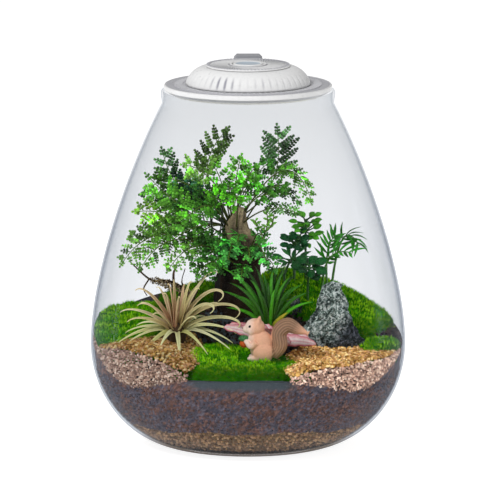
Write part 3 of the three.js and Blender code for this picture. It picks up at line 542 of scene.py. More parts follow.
def grains_on_wall(shape, low, high, span, size, spacing, colours, draw):
    """Grains against the glass between two heights that depend on the bearing, in radians."""
    bottom = min(low(a) for a in span)
    top = max(high(a) for a in span)
    width = span[-1] - span[0]
    for row in range(ceil((top - bottom) / spacing)):
        z = bottom + row * spacing
        count = int(inner_radius(z) * width / spacing)
        for i in range(count):
            a = span[0] + (i + draw.uniform(-0.4, 0.4) + 0.5 * (row % 2)) * width / count
            at = z + draw.uniform(-0.4, 0.4) * spacing
            if not low(a) <= at <= high(a):
                continue
            grown = size * draw.uniform(0.75, 1.25)
            grain(shape, polar(wall_radius(at, 0.55 * grown + 0.2), a, at), grown, colours, draw)


def scattered(draw, centre, reach, spacing):
    """Places at random in the squares of a grid about a centre."""
    steps = int(2 * reach / spacing)
    for i in range(steps):
        for j in range(steps):
            x = centre[0] - reach + (i + draw.random()) * spacing
            y = centre[1] - reach + (j + draw.random()) * spacing
            yield x, y


def grains_on_ground(shape, held, height, size, spacing, colours, draw):
    """Grains that lie on a height function wherever a test of the place holds."""
    for x, y in scattered(draw, (0, 0), VESSEL["belly"][0], spacing):
        grown = size * draw.uniform(0.7, 1.3)
        z = height(x, y)
        if hypot(x, y) > inner_radius(z) - 0.6 * grown - 0.4 or not held(x, y):
            continue
        grain(shape, (x, y, z + 0.15 * grown), grown, colours, draw)


# ---- Moss ----
CUSHIONS = {
    "moss_left": {"at": (-69, 9), "radii": (42, 45), "turn": 0.1, "crown": 6.5, "seed": 1},
    "moss_hill": {"at": (42, 34), "radii": (47, 40), "turn": -0.3, "crown": 7.2, "seed": 3},
    "moss_back": {"at": (-24, 60), "radii": (30, 26), "turn": 0, "crown": 6, "seed": 5},
    "moss_right": {"at": (79, -20), "radii": (16, 11), "turn": 0.9, "crown": 6, "seed": 4},
    "moss_front": {"at": (-5.5, -59), "radii": (43, 29), "turn": -0.1, "crown": 5.5, "seed": 2},
}
SEAT = {"x": (-6, 28), "y": (-61.5, -44.5), "z": 60.1}  # the squirrel's place, pressed flat


def waviness(spec, turn):
    """How far a cushion's outline swells at one bearing about its middle."""
    return 1 + 0.05 * sin(3 * turn + spec["seed"]) + 0.04 * sin(5 * turn + 2 * spec["seed"])


def cushion_share(spec, x, y):
    """How far out a place lies on a cushion: 0 at its middle and 1 at its edge."""
    dx = x - spec["at"][0]
    dy = y - spec["at"][1]
    u = (dx * cos(spec["turn"]) + dy * sin(spec["turn"])) / spec["radii"][0]
    w = (dy * cos(spec["turn"]) - dx * sin(spec["turn"])) / spec["radii"][1]
    return hypot(u, w) / waviness(spec, atan2(w, u))


def tuft(x, y):
    """The small tufts of the moss: from -1 in the gaps between them to 1 on their tops."""
    return min(max(2.2 * noise.noise(Vector((x, y, 0)) * 0.42), -1), 1)


def cushion_height(spec, x, y):
    """The top of a moss cushion, with its lumps."""
    share = min(cushion_share(spec, x, y), 1)
    lump = 0.9 * sin(x * 0.34 + spec["seed"]) * cos(y * 0.31 - spec["seed"])
    clump = 1.2 * noise.noise(Vector((x, y, spec["seed"])) * 0.16) + 0.9 * tuft(x, y)
    z = slope_height(x, y) + (spec["crown"] + lump + clump) * sqrt(max(1 - share**3, 0))
    seated = SEAT["x"][0] < x < SEAT["x"][1] and SEAT["y"][0] < y < SEAT["y"][1]
    return min(z, SEAT["z"]) if seated else z


MOSS_SIDES = 72
MOSS_SPACING = 1.0  # mm between the moss shoots


def moss_pad(shape, spec, tint):
    """The cushion under the shoots, painted dark as the shade deep in the pile, with a skirt that goes down
    into the ground.
    """
    shares = (0.02, 0.2, 0.4, 0.6, 0.75, 0.87, 0.95, 1.0, 1.0)
    rows = []
    for k, share in enumerate(shares):
        row = []
        for j in range(MOSS_SIDES):
            a = TAU * j / MOSS_SIDES
            u = share * spec["radii"][0] * waviness(spec, a) * cos(a)
            w = share * spec["radii"][1] * waviness(spec, a) * sin(a)
            x = spec["at"][0] + u * cos(spec["turn"]) - w * sin(spec["turn"])
            y = spec["at"][1] + u * sin(spec["turn"]) + w * cos(spec["turn"])
            out = hypot(x, y) / (inner_radius(66) - 1)
            x, y = x / max(out, 1), y / max(out, 1)
            skirt = 5 if out < 1 else 1
            z = cushion_height(spec, x, y) - 0.4
            row.append(Vector((x, y, z - (skirt if k == len(shares) - 1 else 0))))
        rows.append(row)
    shape.grid(rows, tint, closed=True)


def moss_light(name, spec, x, y, colours, draw):
    """A shoot's colour: yellower on the tufts, with painted shade in the gaps, at the edge and at the glass,
    and over the whole back cushion.
    """
    patch = 0.5 + 0.8 * noise.noise(Vector((x, y, 3 * spec["seed"])) * 0.12) + 0.3 * tuft(x, y)
    light = mixed(colours["low"], colours["high"], clamped(patch + draw.uniform(-0.4, 0.4)))
    humus = clamped((x + 60) / 8) if name == "moss_left" else 0
    light = mixed(light, MOSS_HUMUS, 0.9 * humus)
    # painted shade: lighter on the tufts' tops, darker in the gaps, at the cushion's edge, near the glass,
    # and at half brightness on the back cushion
    edge = clamped((cushion_share(spec, x, y) - 0.82) / 0.18)
    glass_shade = clamped((-70 - y) / 8)
    dark = (1 - edge * (0.6 - 0.3 * tuft(y, x))) * (1 - 0.55 * glass_shade)
    return scaled(light, (0.85 + 0.5 * tuft(x, y)) * dark * (0.5 if name == "moss_back" else 1))


def moss_cushion(name, spec, colours, material, draw):
    """A cushion under a pile of short leaning shoots, lighter towards their tips, with painted shade at their
    roots.
    """
    shape = Shape()
    # painted shade: the pad is the moss's low green at about a third of its brightness
    moss_pad(shape, spec, scaled(colours["low"], 0.35))
    reach = max(spec["radii"])
    for x, y in scattered(draw, spec["at"], reach, MOSS_SPACING):
        share = cushion_share(spec, x, y)
        z = cushion_height(spec, x, y)
        if share > 1.02 or hypot(x, y) > inner_radius(z) - 1.2:
            continue
        seated = z == SEAT["z"]
        length = draw.uniform(0.5, 0.9) if seated else draw.uniform(1.3, 2.8)
        outward = Vector((x - spec["at"][0], y - spec["at"][1], 0)) / reach
        lean = Vector((draw.uniform(-0.6, 0.6), draw.uniform(-0.6, 0.6), 1)) + outward * share**2 * 1.4
        root = Vector((x, y, z - 0.8))
        tip = root + lean.normalized() * length
        turn = draw.uniform(0, TAU)
        half = draw.uniform(0.32, 0.6)
        foot = [root + polar(half, turn + a) for a in (0, 2.1, 4.2)]
        light = moss_light(name, spec, x, y, colours, draw)
        # painted shade: each shoot's foot is darker than its tip
        shape.add([*foot, tip], [[0, 1, 3], [1, 2, 3], [2, 0, 3]], [scaled(light, 0.65)] * 3 + [light])
    make_piece(name, shape, material)


# ---- Stones and wood ----
# Each stone's rows from foot to peak: height, middle x and y, and half its width and depth.
STONES = {
    "peak_stone": {"seed": 5, "rows": [
        (48, 49, -14, 22, 13), (58, 49, -14, 22, 13), (66, 48, -14, 20, 12), (73, 47.5, -13, 15.5, 10.5),
        (82, 49.5, -12.5, 10, 8), (91, 50, -12, 7.6, 6), (99.5, 50.8, -12, 4, 3.2),
    ]},
    "low_stone": {"seed": 9, "rows": [
        (66, 26.5, 4, 5.5, 4.5), (75, 27, 4, 6, 4.5), (82, 27.6, 4, 4.6, 4), (88, 28.5, 4, 2.2, 2),
    ]},
}
STONE_SIDES = 11
STONE_FINE = {"around": 8, "up": 7}  # finer steps between two ridges and between two rows
# The stone's tint in painted shade and in painted light.
STONE_SHADED = srgb("#5c5e68")
STONE_LIT = srgb("#f4faf4")


def seeded(seed):
    """Random numbers from 0 to 1, which place the ridges of a stone."""
    state = seed
    while True:
        state = (state * 16807) % 2147483647
        yield state / 2147483647


def crags(p):
    """How far a stone's face stands out at a place, by its folds, crags and pits."""
    fold = noise.noise(Vector((p.x * 0.5, p.y * 0.5, p.z * 0.12)))
    crag = abs(noise.noise(p * 0.33)) - 0.25
    pit = noise.noise(p * 1.1)
    return 1.8 * fold + 2.2 * crag + 0.6 * pit


def stone(name, spec, material):
    """Jagged rings from foot to peak, with painted shade low down and at the right."""
    levels = spec["rows"]
    draws = seeded(spec["seed"])
    ridges = [0.85 + 0.3 * next(draws) for _ in range(STONE_SIDES)]
    shares = [[ridge + 0.14 * (next(draws) - 0.5) for ridge in ridges] for _ in levels]
    rows = []
    around, up = STONE_FINE["around"], STONE_FINE["up"]
    sides = STONE_SIDES * around
    for s in range(up * (len(levels) - 1) + 1):
        i = min(s // up, len(levels) - 2)
        t = s / up - i
        z, cx, cy, rx, ry = (a + (b - a) * t for a, b in zip(levels[i], levels[i + 1]))
        row = []
        for j in range(sides):
            k = j // around
            f = j % around / around
            n = (k + 1) % STONE_SIDES
            low, high = (ridge[k] * (1 - f) + ridge[n] * f for ridge in shares[i : i + 2])
            share = low + (high - low) * t
            a = TAU * j / sides + 0.1 * (i + t)
            p = Vector((cx + rx * share * cos(a), cy + ry * share * sin(a), z))
            row.append(p + polar(1, a) * crags(p))
        rows.append(row)
    top = sum(rows[-1], Vector()) / sides
    rows.append([top + (p - top) * 0.5 + UP * 1.0 for p in rows[-1]])
    rows.append([top + UP * 1.7] * sides)
    foot, middle = levels[0][:2]
    colours = []
    for p in (p for row in rows for p in row):
        # painted light and shade: lit towards the peak, shaded at the foot and on the right
        lit = clamped((p.z - foot - 12) / 14 - max(p.x - middle, 0) / 12)
        colours.append(mixed(STONE_SHADED, STONE_LIT, lit * (0.75 + 0.5 * noise.noise(p * 0.4))))
    shape = Shape()
    shape.grid(rows, colours, closed=True)
    make_piece(name, shape, material, smooth=False)


TRUNK = [(-2, 4, 48), (-4, 5, 66), (-6, 6, 86), (-6, 7, 106), (-4, 8, 119), (-7, 8, 130), (-4, 9, 143)]
TRUNK_RADII = [17, 16.2, 14.4, 13.8, 13.2, 13, 9.6, 6.8, 3]
BRANCH = [(-6, 6, 112), (-18, 4, 120), (-34, 2, 125)]
BRANCH_RADII = [6, 4.6, 3.9, 3.2, 2]


def bark_tube(shape, line, radii, sides, rough, light):
    """A woody limb along a line: furrowed bark, with painted shade in its furrows and on its left side."""
    steps = 8 * (len(radii) - 1)
    rows = []
    colours = []
    for i, (p, along, side, up) in enumerate(frames_of(spline(line, steps), ACROSS)):
        radius = blended(radii, i / steps)
        row = []
        for j in range(sides):
            a = TAU * j / sides
            way = side * cos(a) + up * sin(a)
            furrow = noise.noise(Vector((cos(a) * 3.2, sin(a) * 3.2, p.z * 0.045)))
            knot = noise.noise(p * 0.11 + way * 1.3)
            row.append(p + way * max(radius + rough * (1.6 * furrow + 1.1 * knot), 0.4))
            # painted shade: darker in the furrows and towards the left, lighter towards the right
            shade = clamped(0.5 + 1.3 * furrow + 0.35 * way.x + 0.45 * noise.noise(p * 0.7))
            colours.append(mixed(BARK["dark"], light(p), shade))
        rows.append(row)
    rows.append([sum(rows[-1], Vector()) / sides] * sides)
    colours += [BARK["mid"]] * sides
    shape.grid(rows, colours, closed=True)


def driftwood(material):
    """The trunk, bleached above its branch and darker below it with painted shade under the ferns, and the
    branch to the left.
    """
    shape = Shape()

    def trunk_light(p):
        # painted shade: below the branch the trunk keeps the darker mid brown
        return mixed(BARK["mid"], BARK["light"], clamped((p.z - 119) / 8))

    bark_tube(shape, TRUNK, TRUNK_RADII, 56, 1.0, trunk_light)
    bark_tube(shape, BRANCH, BRANCH_RADII, 24, 0.4, lambda p: srgb("#7a4e34"))
    make_piece("driftwood", shape, material)


TWIG_ARM = [(-27, 12, 72), (-35, 11, 88), (-47, 9, 97), (-59, 7, 99), (-71, 5, 110)]
TWIG_FORK = [(-45, 9, 96), (-45, 7, 103), (-43, 6, 108)]
TWIG_SHOOTS = [
    [(-36, 11, 89), (-40, 8, 97), (-38, 6, 106)],
    [(-33, 11, 85), (-30, 7, 96), (-33, 4, 106)],
    [(-60, 7, 99), (-63, 4, 94), (-61, 2, 90)],
    [(-40, 10, 93), (-42, 6, 88), (-40, 4, 82)],
]
DEAD_MOSS = {"from": Vector((-36, 11, 91)), "to": Vector((-58, 7, 99)), "grains": 320}


def twig(material, draw):
    """The dry twig: a thin arm with a clump of dead moss, bare side shoots and a fork."""
    shape = Shape()
    bark_tube(shape, TWIG_ARM, [1.6, 1.5, 1.5, 1.3, 1, 0.6, 0.45, 0.35], 10, 0.2, lambda p: srgb("#7a6450"))
    bark_tube(shape, TWIG_FORK, [0.9, 0.7, 0.4], 8, 0.1, lambda p: srgb("#8a6a50"))
    for line in TWIG_SHOOTS:
        tube(shape, spline(line, 8), [0.5] * 5 + [0.3] * 4, 5, srgb("#54412f"))
    for _ in range(DEAD_MOSS["grains"]):
        t = draw.random()
        at = DEAD_MOSS["from"].lerp(DEAD_MOSS["to"], t)
        away = Vector([draw.gauss(0, 1) for _ in range(3)]).normalized()
        at += away * (2.2 + 1.2 * sin(pi * t)) * draw.random() ** 0.4
        grain(shape, at, 1.1, palette("#b09a78", "#cdb894", "#84705a"), draw)
    make_piece("twig", shape, material)


# ---- Leaves ----
# Outlines of leaves: shares of the full width at even steps from root to tip.
OVAL = [0.08, 0.7, 0.98, 1, 0.85, 0.5, 0.04]
LANCE = [0.2, 0.6, 0.95, 1, 0.8, 0.45, 0.04]
ROUND = [0.1, 0.85, 1, 1, 0.97, 0.75, 0.12]
STRAP = [0.75, 0.95, 1, 0.95, 0.8, 0.5, 0.03]
TAPER = [1, 0.95, 0.86, 0.74, 0.6, 0.45, 0.3, 0.18, 0.08]
BLADE = [0.35, 0.95, 1, 0.9, 0.75, 0.3]
LOBE_HALF = [(0.9, 0.36), (0.65, 0.5), (0.3, 0.32), (0, 0.12)]
LOBE = [*((x, -y) for x, y in reversed(LOBE_HALF)), (1, 0), *LOBE_HALF]
LOBE_GAP = 1.75  # mm between the lobes of a leaflet
LEAFLET_GAP = 4.7  # mm between the leaflets of a frond
LOBE_LENGTH = 2.1
# Random brightness of lobes and leaflets: partly the leaves' own tones and partly painted highlight and
# shade.
LOBE_SHADES = (0.45, 0.75, 1, 1.2, 1.6)
LEAFLET_SHADES = (0.42, 0.75, 1.1, 1.45, 1.9, 2.4)
FROND_STEPS = 48


def lobe(shape, root, out, up, length, width, tint):
    """One rounded lobe of a cut leaf, cupped a little and lighter towards its end."""
    side = out.cross(up).normalized()
    points = []
    for x, y in LOBE:
        cup = width * (0.5 * y * y - 0.12 * x * x)
        points.append(root + out * length * x + side * width * y + up * cup)
    shape.add(points, [list(range(len(LOBE)))], [scaled(tint, 0.75 + 0.4 * x) for x, y in LOBE])


def pinna(shape, root, out, up, length, tint, draw, lobe_length, broad):
    """One side leaflet of a fern: a narrow blade whose edges run out in overlapping lobes."""
    side = out.cross(up).normalized()
    droop = draw.uniform(0.02, 0.28)
    pairs = max(round(length / LOBE_GAP) - 1, 2)

    def at(s):
        return root + out * length * s - up * length * droop * s * s

    line = [at(k / 5) for k in range(6)]
    ribbon(shape, line, up, BLADE, lobe_length * 0.32, (scaled(tint, 0.6), scaled(tint, 0.9)), fold=0.2)
    for k in range(pairs):
        s = (k + 0.9) / (pairs + 0.9)
        size = lobe_length * (1.15 - 0.5 * s * s) * draw.uniform(0.9, 1.15)
        for sign in (-1, 1):
            way = (side * sign + out * 0.75 + up * draw.uniform(-0.15, 0.25)).normalized()
            face = (up + side * draw.uniform(-0.25, 0.25)).normalized()
            lobe(shape, at(s), way, face, size, size * broad, scaled(tint, draw.choice(LOBE_SHADES)))
    lobe(shape, at(0.92), out, up, lobe_length * 0.95, lobe_length * broad, scaled(tint, 1.1))


def fern(shape, spec, tint, draw, broad=0.8):
    """A fern frond on its bow: a bare stalk, then lobed leaflets by turns left and right."""
    whole = bezier([spec["base"], spec["bend"], spec["tip"]], FROND_STEPS)
    turn = round(spec["stem"] * FROND_STEPS)
    colours = [mixed(STALK_BROWN, STALK_GREEN, i / FROND_STEPS) for i in range(FROND_STEPS + 1)]
    tube(shape, whole, [0.45, 0.15], 5, colours)
    frames = frames_of(whole, spec["face"])
    span = sum((q - p).length for p, q in zip(whole[turn:], whole[turn + 1 :]))
    count = 2 * max(round(span / spec["gap"]), 3)
    lobe_length = spec["lobe"]
    for i in range(count):
        f = i / count
        sign = 1 if i % 2 else -1
        p, along, side, up = frames[turn + round((FROND_STEPS - turn) * f)]
        length = spec["reach"] * sqrt(sin(pi * (0.22 + 0.72 * f))) * draw.uniform(0.85, 1.1)
        out = (side * sign + along * spec["sweep"] + up * draw.uniform(-0.15, 0.25)).normalized()
        shade = scaled(tint, draw.choice(LEAFLET_SHADES) * draw.uniform(0.9, 1.1))
        up = (up + side * draw.uniform(-0.35, 0.35) + along * draw.uniform(-0.35, 0.35)).normalized()
        pinna(shape, p, out, up, length, shade, draw, lobe_length, broad)
    p, along, side, up = frames[-2]
    pinna(shape, p, along, up, spec["reach"] * 0.5, scaled(tint, 1.2), draw, lobe_length, broad)


# The ways that fronds face.
AHEAD = (0, -1, 0.1)
TO_FRONT = (0, -0.8, 0.6)
TO_LEFT = (-0.15, -0.9, 0.4)
TO_RIGHT = (0.25, -0.5, 0.8)
TO_BACK = (0, 0.55, 0.8)


def bow(base, bend, tip, reach, face, stem=0.4, sweep=0.6, gap=LEAFLET_GAP, lobe=LOBE_LENGTH):
    """A frond's line and how its leaflets stand: their reach, sweep, gap and lobes, in mm."""
    line = {"base": base, "bend": bend, "tip": tip, "face": face, "stem": stem}
    return {**line, "reach": reach, "sweep": sweep, "gap": gap, "lobe": lobe}


# Each frond's name and colour, then what bow() asks for. The colours carry painted light and shade: the back
# fronds are dark, and the fronds that face the light are lighter.
FERN_FRONDS = [
    ("top_left", "#5c8236", (-11, 9, 136), (-36, 14, 164), (-15, 14, 187), 12.5, AHEAD, 0.5, 1, 5.2, 2.2),
    ("top_right", "#5a8a50", (-5, 10, 137), (22, 14, 152), (18, 10, 187), 14.5, AHEAD, 0.6, 0.9, 5.2, 2.2),
    ("right_arch", "#6cb438", (-4, 8, 136), (24, 0, 190), (38, -6, 150), 8, TO_RIGHT, 0.35, 0.6, 3.2, 1.8),
    ("right_second", "#4f8a38", (-3, 13, 131), (14, 22, 164), (31, 24, 144), 6, TO_RIGHT, 0.4, 0.8, 3.4, 1.8),
    ("right_low", "#4f8434", (-3, 5, 134), (13, -6, 150), (29, -12, 143), 5, TO_FRONT, 0.4, 1, 3.2, 1.6),
    ("left_top", "#46703c", (-13, 12, 132), (-44, 18, 146), (-51, 14, 174), 10.5, AHEAD, 0.5, 0.9, 5.2, 2.2),
    ("left_upper", "#5c9c30", (-14, 6, 126), (-44, -2, 146), (-58, -6, 162), 12, TO_LEFT),
    ("left_mid", "#90c83c", (-17, 7, 120), (-40, 10, 142), (-65, 6, 141), 10, TO_LEFT),
    ("left_low", "#6a9e3a", (-29, 3, 123), (-58, -4, 138), (-75, -10, 113), 9, TO_LEFT, 0.3, 0.6, 4, 1.8),
    ("left_drop", "#5e9832", (-25, 1, 121), (-50, -18, 136), (-64, -26, 112), 8, TO_LEFT, 0.4, 0.6, 4.2, 1.8),
    ("low_left", "#689e38", (-19, 0, 118), (-34, -28, 132), (-47, -40, 114), 7, TO_LEFT, 0.4, 0.6, 4.2, 1.8),
    ("low_mid", "#4e8a2c", (-15, -4, 106), (-21, -26, 122), (-29, -36, 110), 8, TO_FRONT),
    ("front_left", "#56a028", (-12, 3, 132), (-22, -20, 158), (-36, -34, 144), 11, TO_FRONT),
    ("front_right", "#64c424", (-7, 2, 131), (-5, -22, 166), (-8, -34, 151), 9, TO_FRONT),
    ("mid_top", "#84bc4c", (-9, 6, 138), (-22, 0, 168), (-36, -8, 171), 10, TO_LEFT, 0.5),
    ("back_left", "#2c6420", (-12, 13, 130), (-28, 36, 160), (-44, 46, 144), 11, TO_BACK),
    ("back_mid", "#2f6a20", (-8, 14, 130), (-10, 42, 160), (-12, 57, 142), 11, TO_BACK),
    ("back_right", "#2c6420", (-5, 14, 131), (8, 42, 160), (20, 54, 144), 11, TO_BACK),
]
# Smaller fronds that fill the crown: where each one ends, its reach and its colour, which is painted darker
# deep in the crown as shade and lighter at its top and front.
CROWN = (-10, 9, 130)
INNER_FRONDS = [
    ((-46, 10, 160), 9, "#356a48"), ((-38, 12, 150), 9, "#2c5c34"), ((-30, 4, 156), 8, "#3f7c2e"),
    ((-24, 10, 148), 8, "#2c5a24"), ((-50, -2, 150), 8, "#4a8a34"), ((-58, 4, 128), 9, "#5a9434"),
    ((-48, -10, 124), 9, "#528c30"), ((-36, -6, 122), 8, "#427a2a"), ((-22, -8, 152), 8, "#66bc28"),
    ((-12, -6, 160), 8, "#5aaa2c"), ((4, 6, 160), 8, "#5cac34"), ((14, 0, 152), 7, "#4f9430"),
    ((12, 8, 170), 7, "#4c9034"), ((22, 2, 158), 6, "#62b43a"), ((-62, 14, 150), 8, "#3a6c34"),
    ((-70, 2, 126), 7, "#6a9e3a"), ((-20, 4, 142), 7, "#28541e"), ((-5, 4, 172), 8, "#74c63c"),
    ((-20, 2, 168), 8, "#6cbc34"), ((4, 2, 168), 7, "#64b634"), ((-26, -14, 108), 9, "#3f7a2a"),
    ((-33, -8, 112), 8, "#4a8a2c"), ((-20, -12, 104), 7, "#366a24"),
]
# Small bright fronds that hide the front of the trunk: base, bend, tip and reach.
TRUNK_GREEN = srgb("#54a63e")
TRUNK_FRONDS = [
    ((-5, -4, 122), (-6, -14, 136), (-6, -21, 127), 6),
    ((2, -4, 120), (6, -12, 136), (9, -17, 128), 6),
    ((-9, -3, 120), (-14, -12, 134), (-18, -18, 124), 6),
    ((0, -4, 116), (0, -16, 128), (1, -25, 118), 6),
    ((3, -3, 112), (12, -12, 120), (16, -18, 110), 6),
    ((-8, -4, 110), (-16, -16, 122), (-22, -24, 112), 6),
    ((-2, -5, 108), (-3, -18, 116), (-4, -26, 106), 6),
]
APRON_FRONDS = {
    "apron_left": bow((-8, -4, 116), (-8, -18, 134), (-12, -28, 117), 8, TO_FRONT, 0.3, 0.6, 3.6, 1.9),
    "apron_right": bow((1, -4, 114), (6, -18, 132), (11, -26, 116), 8, TO_FRONT, 0.3, 0.6, 3.6, 1.9),
}


def ferns(material, bright, draw):
    """The fronds of the crown, with thin dark stalks among them, and small ones on the trunk."""
    for name, code, *values in FERN_FRONDS:
        shape = Shape()
        fern(shape, bow(*values), srgb(code), draw)
        make_piece(f"fern_{name}", shape, material, thickness=0.2)
    shape = Shape()
    for tip, reach, code in INNER_FRONDS:
        middle = (Vector(CROWN) + Vector(tip)) / 2 + UP * 12
        fern(shape, bow(CROWN, middle, tip, reach, (-0.05, -0.9, 0.45), 0.45), srgb(code), draw)
    for i in range(9):
        foot = Vector((-13 - 2.5 * i, 5 - 0.5 * i, 119 + 0.5 * i))
        top = foot + Vector((draw.uniform(-6, 2), draw.uniform(-4, 6), draw.uniform(22, 34)))
        middle = foot.lerp(top, 0.5) + Vector((draw.uniform(0, 4), -2, 0))
        tube(shape, bezier([foot, middle, top], 10), [0.5, 0.2], 5, srgb("#26341a"))
    for base, middle, tip, reach in TRUNK_FRONDS:
        fern(shape, bow(base, middle, tip, reach, TO_FRONT, 0.3, 0.6, 3.4, 1.8), TRUNK_GREEN, draw)
    make_piece("fern_crown", shape, material, nodes=(), thickness=0.2)
    for name, spec in APRON_FRONDS.items():
        shape = Shape()
        fern(shape, spec, srgb("#58b050"), draw, broad=0.85)
        make_piece(f"fern_{name}", shape, bright, thickness=0.2)


# ---- Palm, umbrella plant and sprig ----
ROOT = 8  # mm that a stem goes down into the ground
MOSS_CLEAR = 11  # mm over the ground where it has come clear of the moss


def rooted(x, y, above=-ROOT):
    """A point over a place on the ground, or under it."""
    return Vector((x, y, slope_height(x, y) + above))


# Root, bend, tip, leaflet length, the share that the hanging side keeps, and the way faced.
PALM_FRONDS = {
    "palm_low": ((45, 20), (45, 18, 118), (62, 10, 115), 14, 0.35, TO_FRONT),
    "palm_up": ((48, 28), (46, 28, 116), (53, 27, 123), 10, 1, AHEAD),
    "palm_arch": ((51, 36), (56, 39, 134), (67, 29, 117), 12, 1, TO_RIGHT),
}
PALM_PAIRS = 7
PALM_STEPS = 30


def palm(name, spec, material, draw):
    """A palm frond: long folded leaflets in pairs on a slim, leaning stem."""
    (x, y), bend, tip, reach, hanging, face = spec
    shape = Shape()
    arc = bezier([rooted(x, y, MOSS_CLEAR), bend, tip], PALM_STEPS)
    tube(shape, [rooted(x, y), rooted(x, y, 0), *arc], [0.75, 0.2], 6, srgb("#4c8a2c"))
    frames = frames_of(arc, face)
    for i in range(PALM_PAIRS):
        p, along, side, up = frames[12 + round(17 * i / (PALM_PAIRS - 1))]
        t = i / PALM_PAIRS
        for sign in (-1, 1):
            out = side * sign + along * (0.7 + 0.6 * t) + up * draw.uniform(-0.1, 0.3)
            length = reach * (1.05 - 0.35 * t) * draw.uniform(0.85, 1.1) * (hanging if sign > 0 else 1)
            tint = scaled(srgb("#34901c"), draw.uniform(0.45, 1.6))
            tints = (scaled(tint, 0.8), tint)
            leaf(shape, p, out, up, length, 1.7, LANCE, tints, droop=0.45, fold=0.45, steps=7)
    make_piece(name, shape, material, thickness=0.2)


# Root, head, then how the leaves spread: count, length, width, rise, outline and colours.
UMBRELLA_STEMS = {
    "umbrella_low": ((22, 20), (27, 18, 110), 14, 9, 2.3, 0.25, LANCE, "#2c6c34"),
    "umbrella_dark": ((28, 28), (29, 27, 120), 16, 6, 4, 0.3, ROUND, "#18582c"),
    "umbrella_top": ((35, 36), (35, 35, 131), 26, 6.4, 3.6, 0.3, OVAL, "#5cb428"),
    "umbrella_broad": ((36, 11), (37, 3, 108.5), 11, 8, 6.5, 0.12, OVAL, "#124a1e"),
}


def umbrella(name, spec, material, draw):
    """An umbrella plant's stem: leaves that stand out round its top on short stalks."""
    (x, y), head, leaves, length, width, rise, outline, code = spec
    shape = Shape()
    green = srgb("#3c6a34")
    top = Vector(head)
    knee = rooted(x, y, MOSS_CLEAR)
    stem = [rooted(x, y), rooted(x, y, 0), *bezier([knee, (knee + top) / 2 + UP * 3, top], 8)]
    tube(shape, stem, [0.75, 0.4], 7, green)
    for i in range(leaves):
        turn = i * GOLDEN_ANGLE
        lift = rise + 0.45 * sin(turn) + draw.uniform(-0.1, 0.3)
        out = Vector((cos(turn), 0.7 * sin(turn), lift)).normalized()
        start = top.lerp(knee, 0.012 * i * (1 + draw.random()))
        stalk = start + out * draw.uniform(1.5, 6)
        tube(shape, [start, stalk], [0.35, 0.3], 5, green)
        tint = scaled(srgb(code), draw.uniform(0.7, 1.5))
        size = length * draw.uniform(0.75, 1.05)
        face = Vector((draw.uniform(-0.3, 0.3), -0.75, 0.65))
        across = width * draw.uniform(0.85, 1.1)
        leaf(shape, stalk, out, face, size, across, outline, (tint, scaled(tint, 1.25)))
    make_piece(name, shape, material, thickness=0.3)


SPRIG = [(5, 9, 119), (14, 12, 128), (11, 12, 141)]
# The side twigs: where on the main one each starts, its bend and its end from there.
SPRIG_ARMS = [(7, (5, 1, 3), (5, 0, 11)), (5, (-4, -2, 5), (-5, -3, 10))]


def sprig(material, draw):
    """The leafy sprig: fine twigs with small pale leaves."""
    shape = Shape()
    main = bezier(SPRIG, 16)
    arms = [main]
    for i, bend, end in SPRIG_ARMS:
        arms.append(bezier([main[i], main[i] + Vector(bend), main[i] + Vector(end)], 10))
    for arm in arms:
        tube(shape, arm, [0.4, 0.2], 5, srgb("#7f8f4c"))
        for i in range(3, len(arm)):
            turn = i * GOLDEN_ANGLE
            out = Vector((cos(turn), 0.5 * sin(turn), 0.55))
            tint = scaled(srgb("#8fd052"), draw.uniform(0.7, 1.3))
            length = draw.uniform(3, 5)
            leaf(shape, arm[i], out, Vector((0, -0.7, 0.7)), length, 1.8, OVAL, (tint, tint), steps=4)
    make_piece("sprig", shape, material, thickness=0.2)


# ---- Air plant, grass tuft and earth star ----
AIR_PLANT = {"heart": Vector((-43, -32, 77)), "bulb": Vector((-43, -32, 72)), "width": 3.2}
BULB = {"radius": 5.6, "half_height": 7.6, "rows": 9, "sides": 20}
# Each leaf's tip from the heart; the second value of a row bends its end down, in mm.
AIR_LEAVES = [
    ((-24.6, -2, 22.4), 0), ((-33.8, -4, 9.4), 0), ((-23.3, -8, 14.3), 1), ((-29.5, -12, 5), 2),
    ((-30.8, 4, -4.5), 2), ((-30.2, -6, -9.5), 3), ((-35, -2, -9.5), 2), ((-20.9, -16, -14), 3),
    ((-1.6, -3, 28.5), 0), ((5.2, 2, 25), 0), ((-7.4, -6, 21), 0), ((9.5, 0, 26.8), 0),
    ((25, 4, 32), 3), ((27, -4, 24), 8), ((37, 0, 13), 8), ((38, -6, 5), 5),
    ((36, -10, -2.5), 3), ((34, -6, -9), 4), ((33, -14, -12), 3), ((19, -22, -13), 4),
    ((2, -25, -10), 5), ((-10, -24, -9), 4), ((12, -18, 8), 4), ((-14, -16, 10), 2),
    ((22, -12, 16), 6), ((14, 12, 22), 1), ((-12, 10, 22), 1), ((26, 10, 12), 3),
    ((-22, 12, 12), 1), ((6, 20, 14), 2), ((-6, 22, 8), 3), ((18, 20, 2), 4),
    ((-24, 16, -2), 3), ((2, -14, 20), 1), ((-5, -10, 27), 0), ((14, -8, 24), 4),
]


def bulb(shape):
    """The brown bulb that the air plant's leaves come from."""
    heart = AIR_PLANT["heart"]
    rows = []
    for i in range(BULB["rows"]):
        a = -pi / 2 + pi * i / (BULB["rows"] - 1)
        z = AIR_PLANT["bulb"].z + BULB["half_height"] * sin(a)
        ring = circle(BULB["radius"] * cos(a) + 0.05, z, BULB["sides"])
        rows.append([Vector((heart.x + p.x, heart.y + p.y, z)) for p in ring])
    shape.grid(rows, srgb("#4a3826"), closed=True)


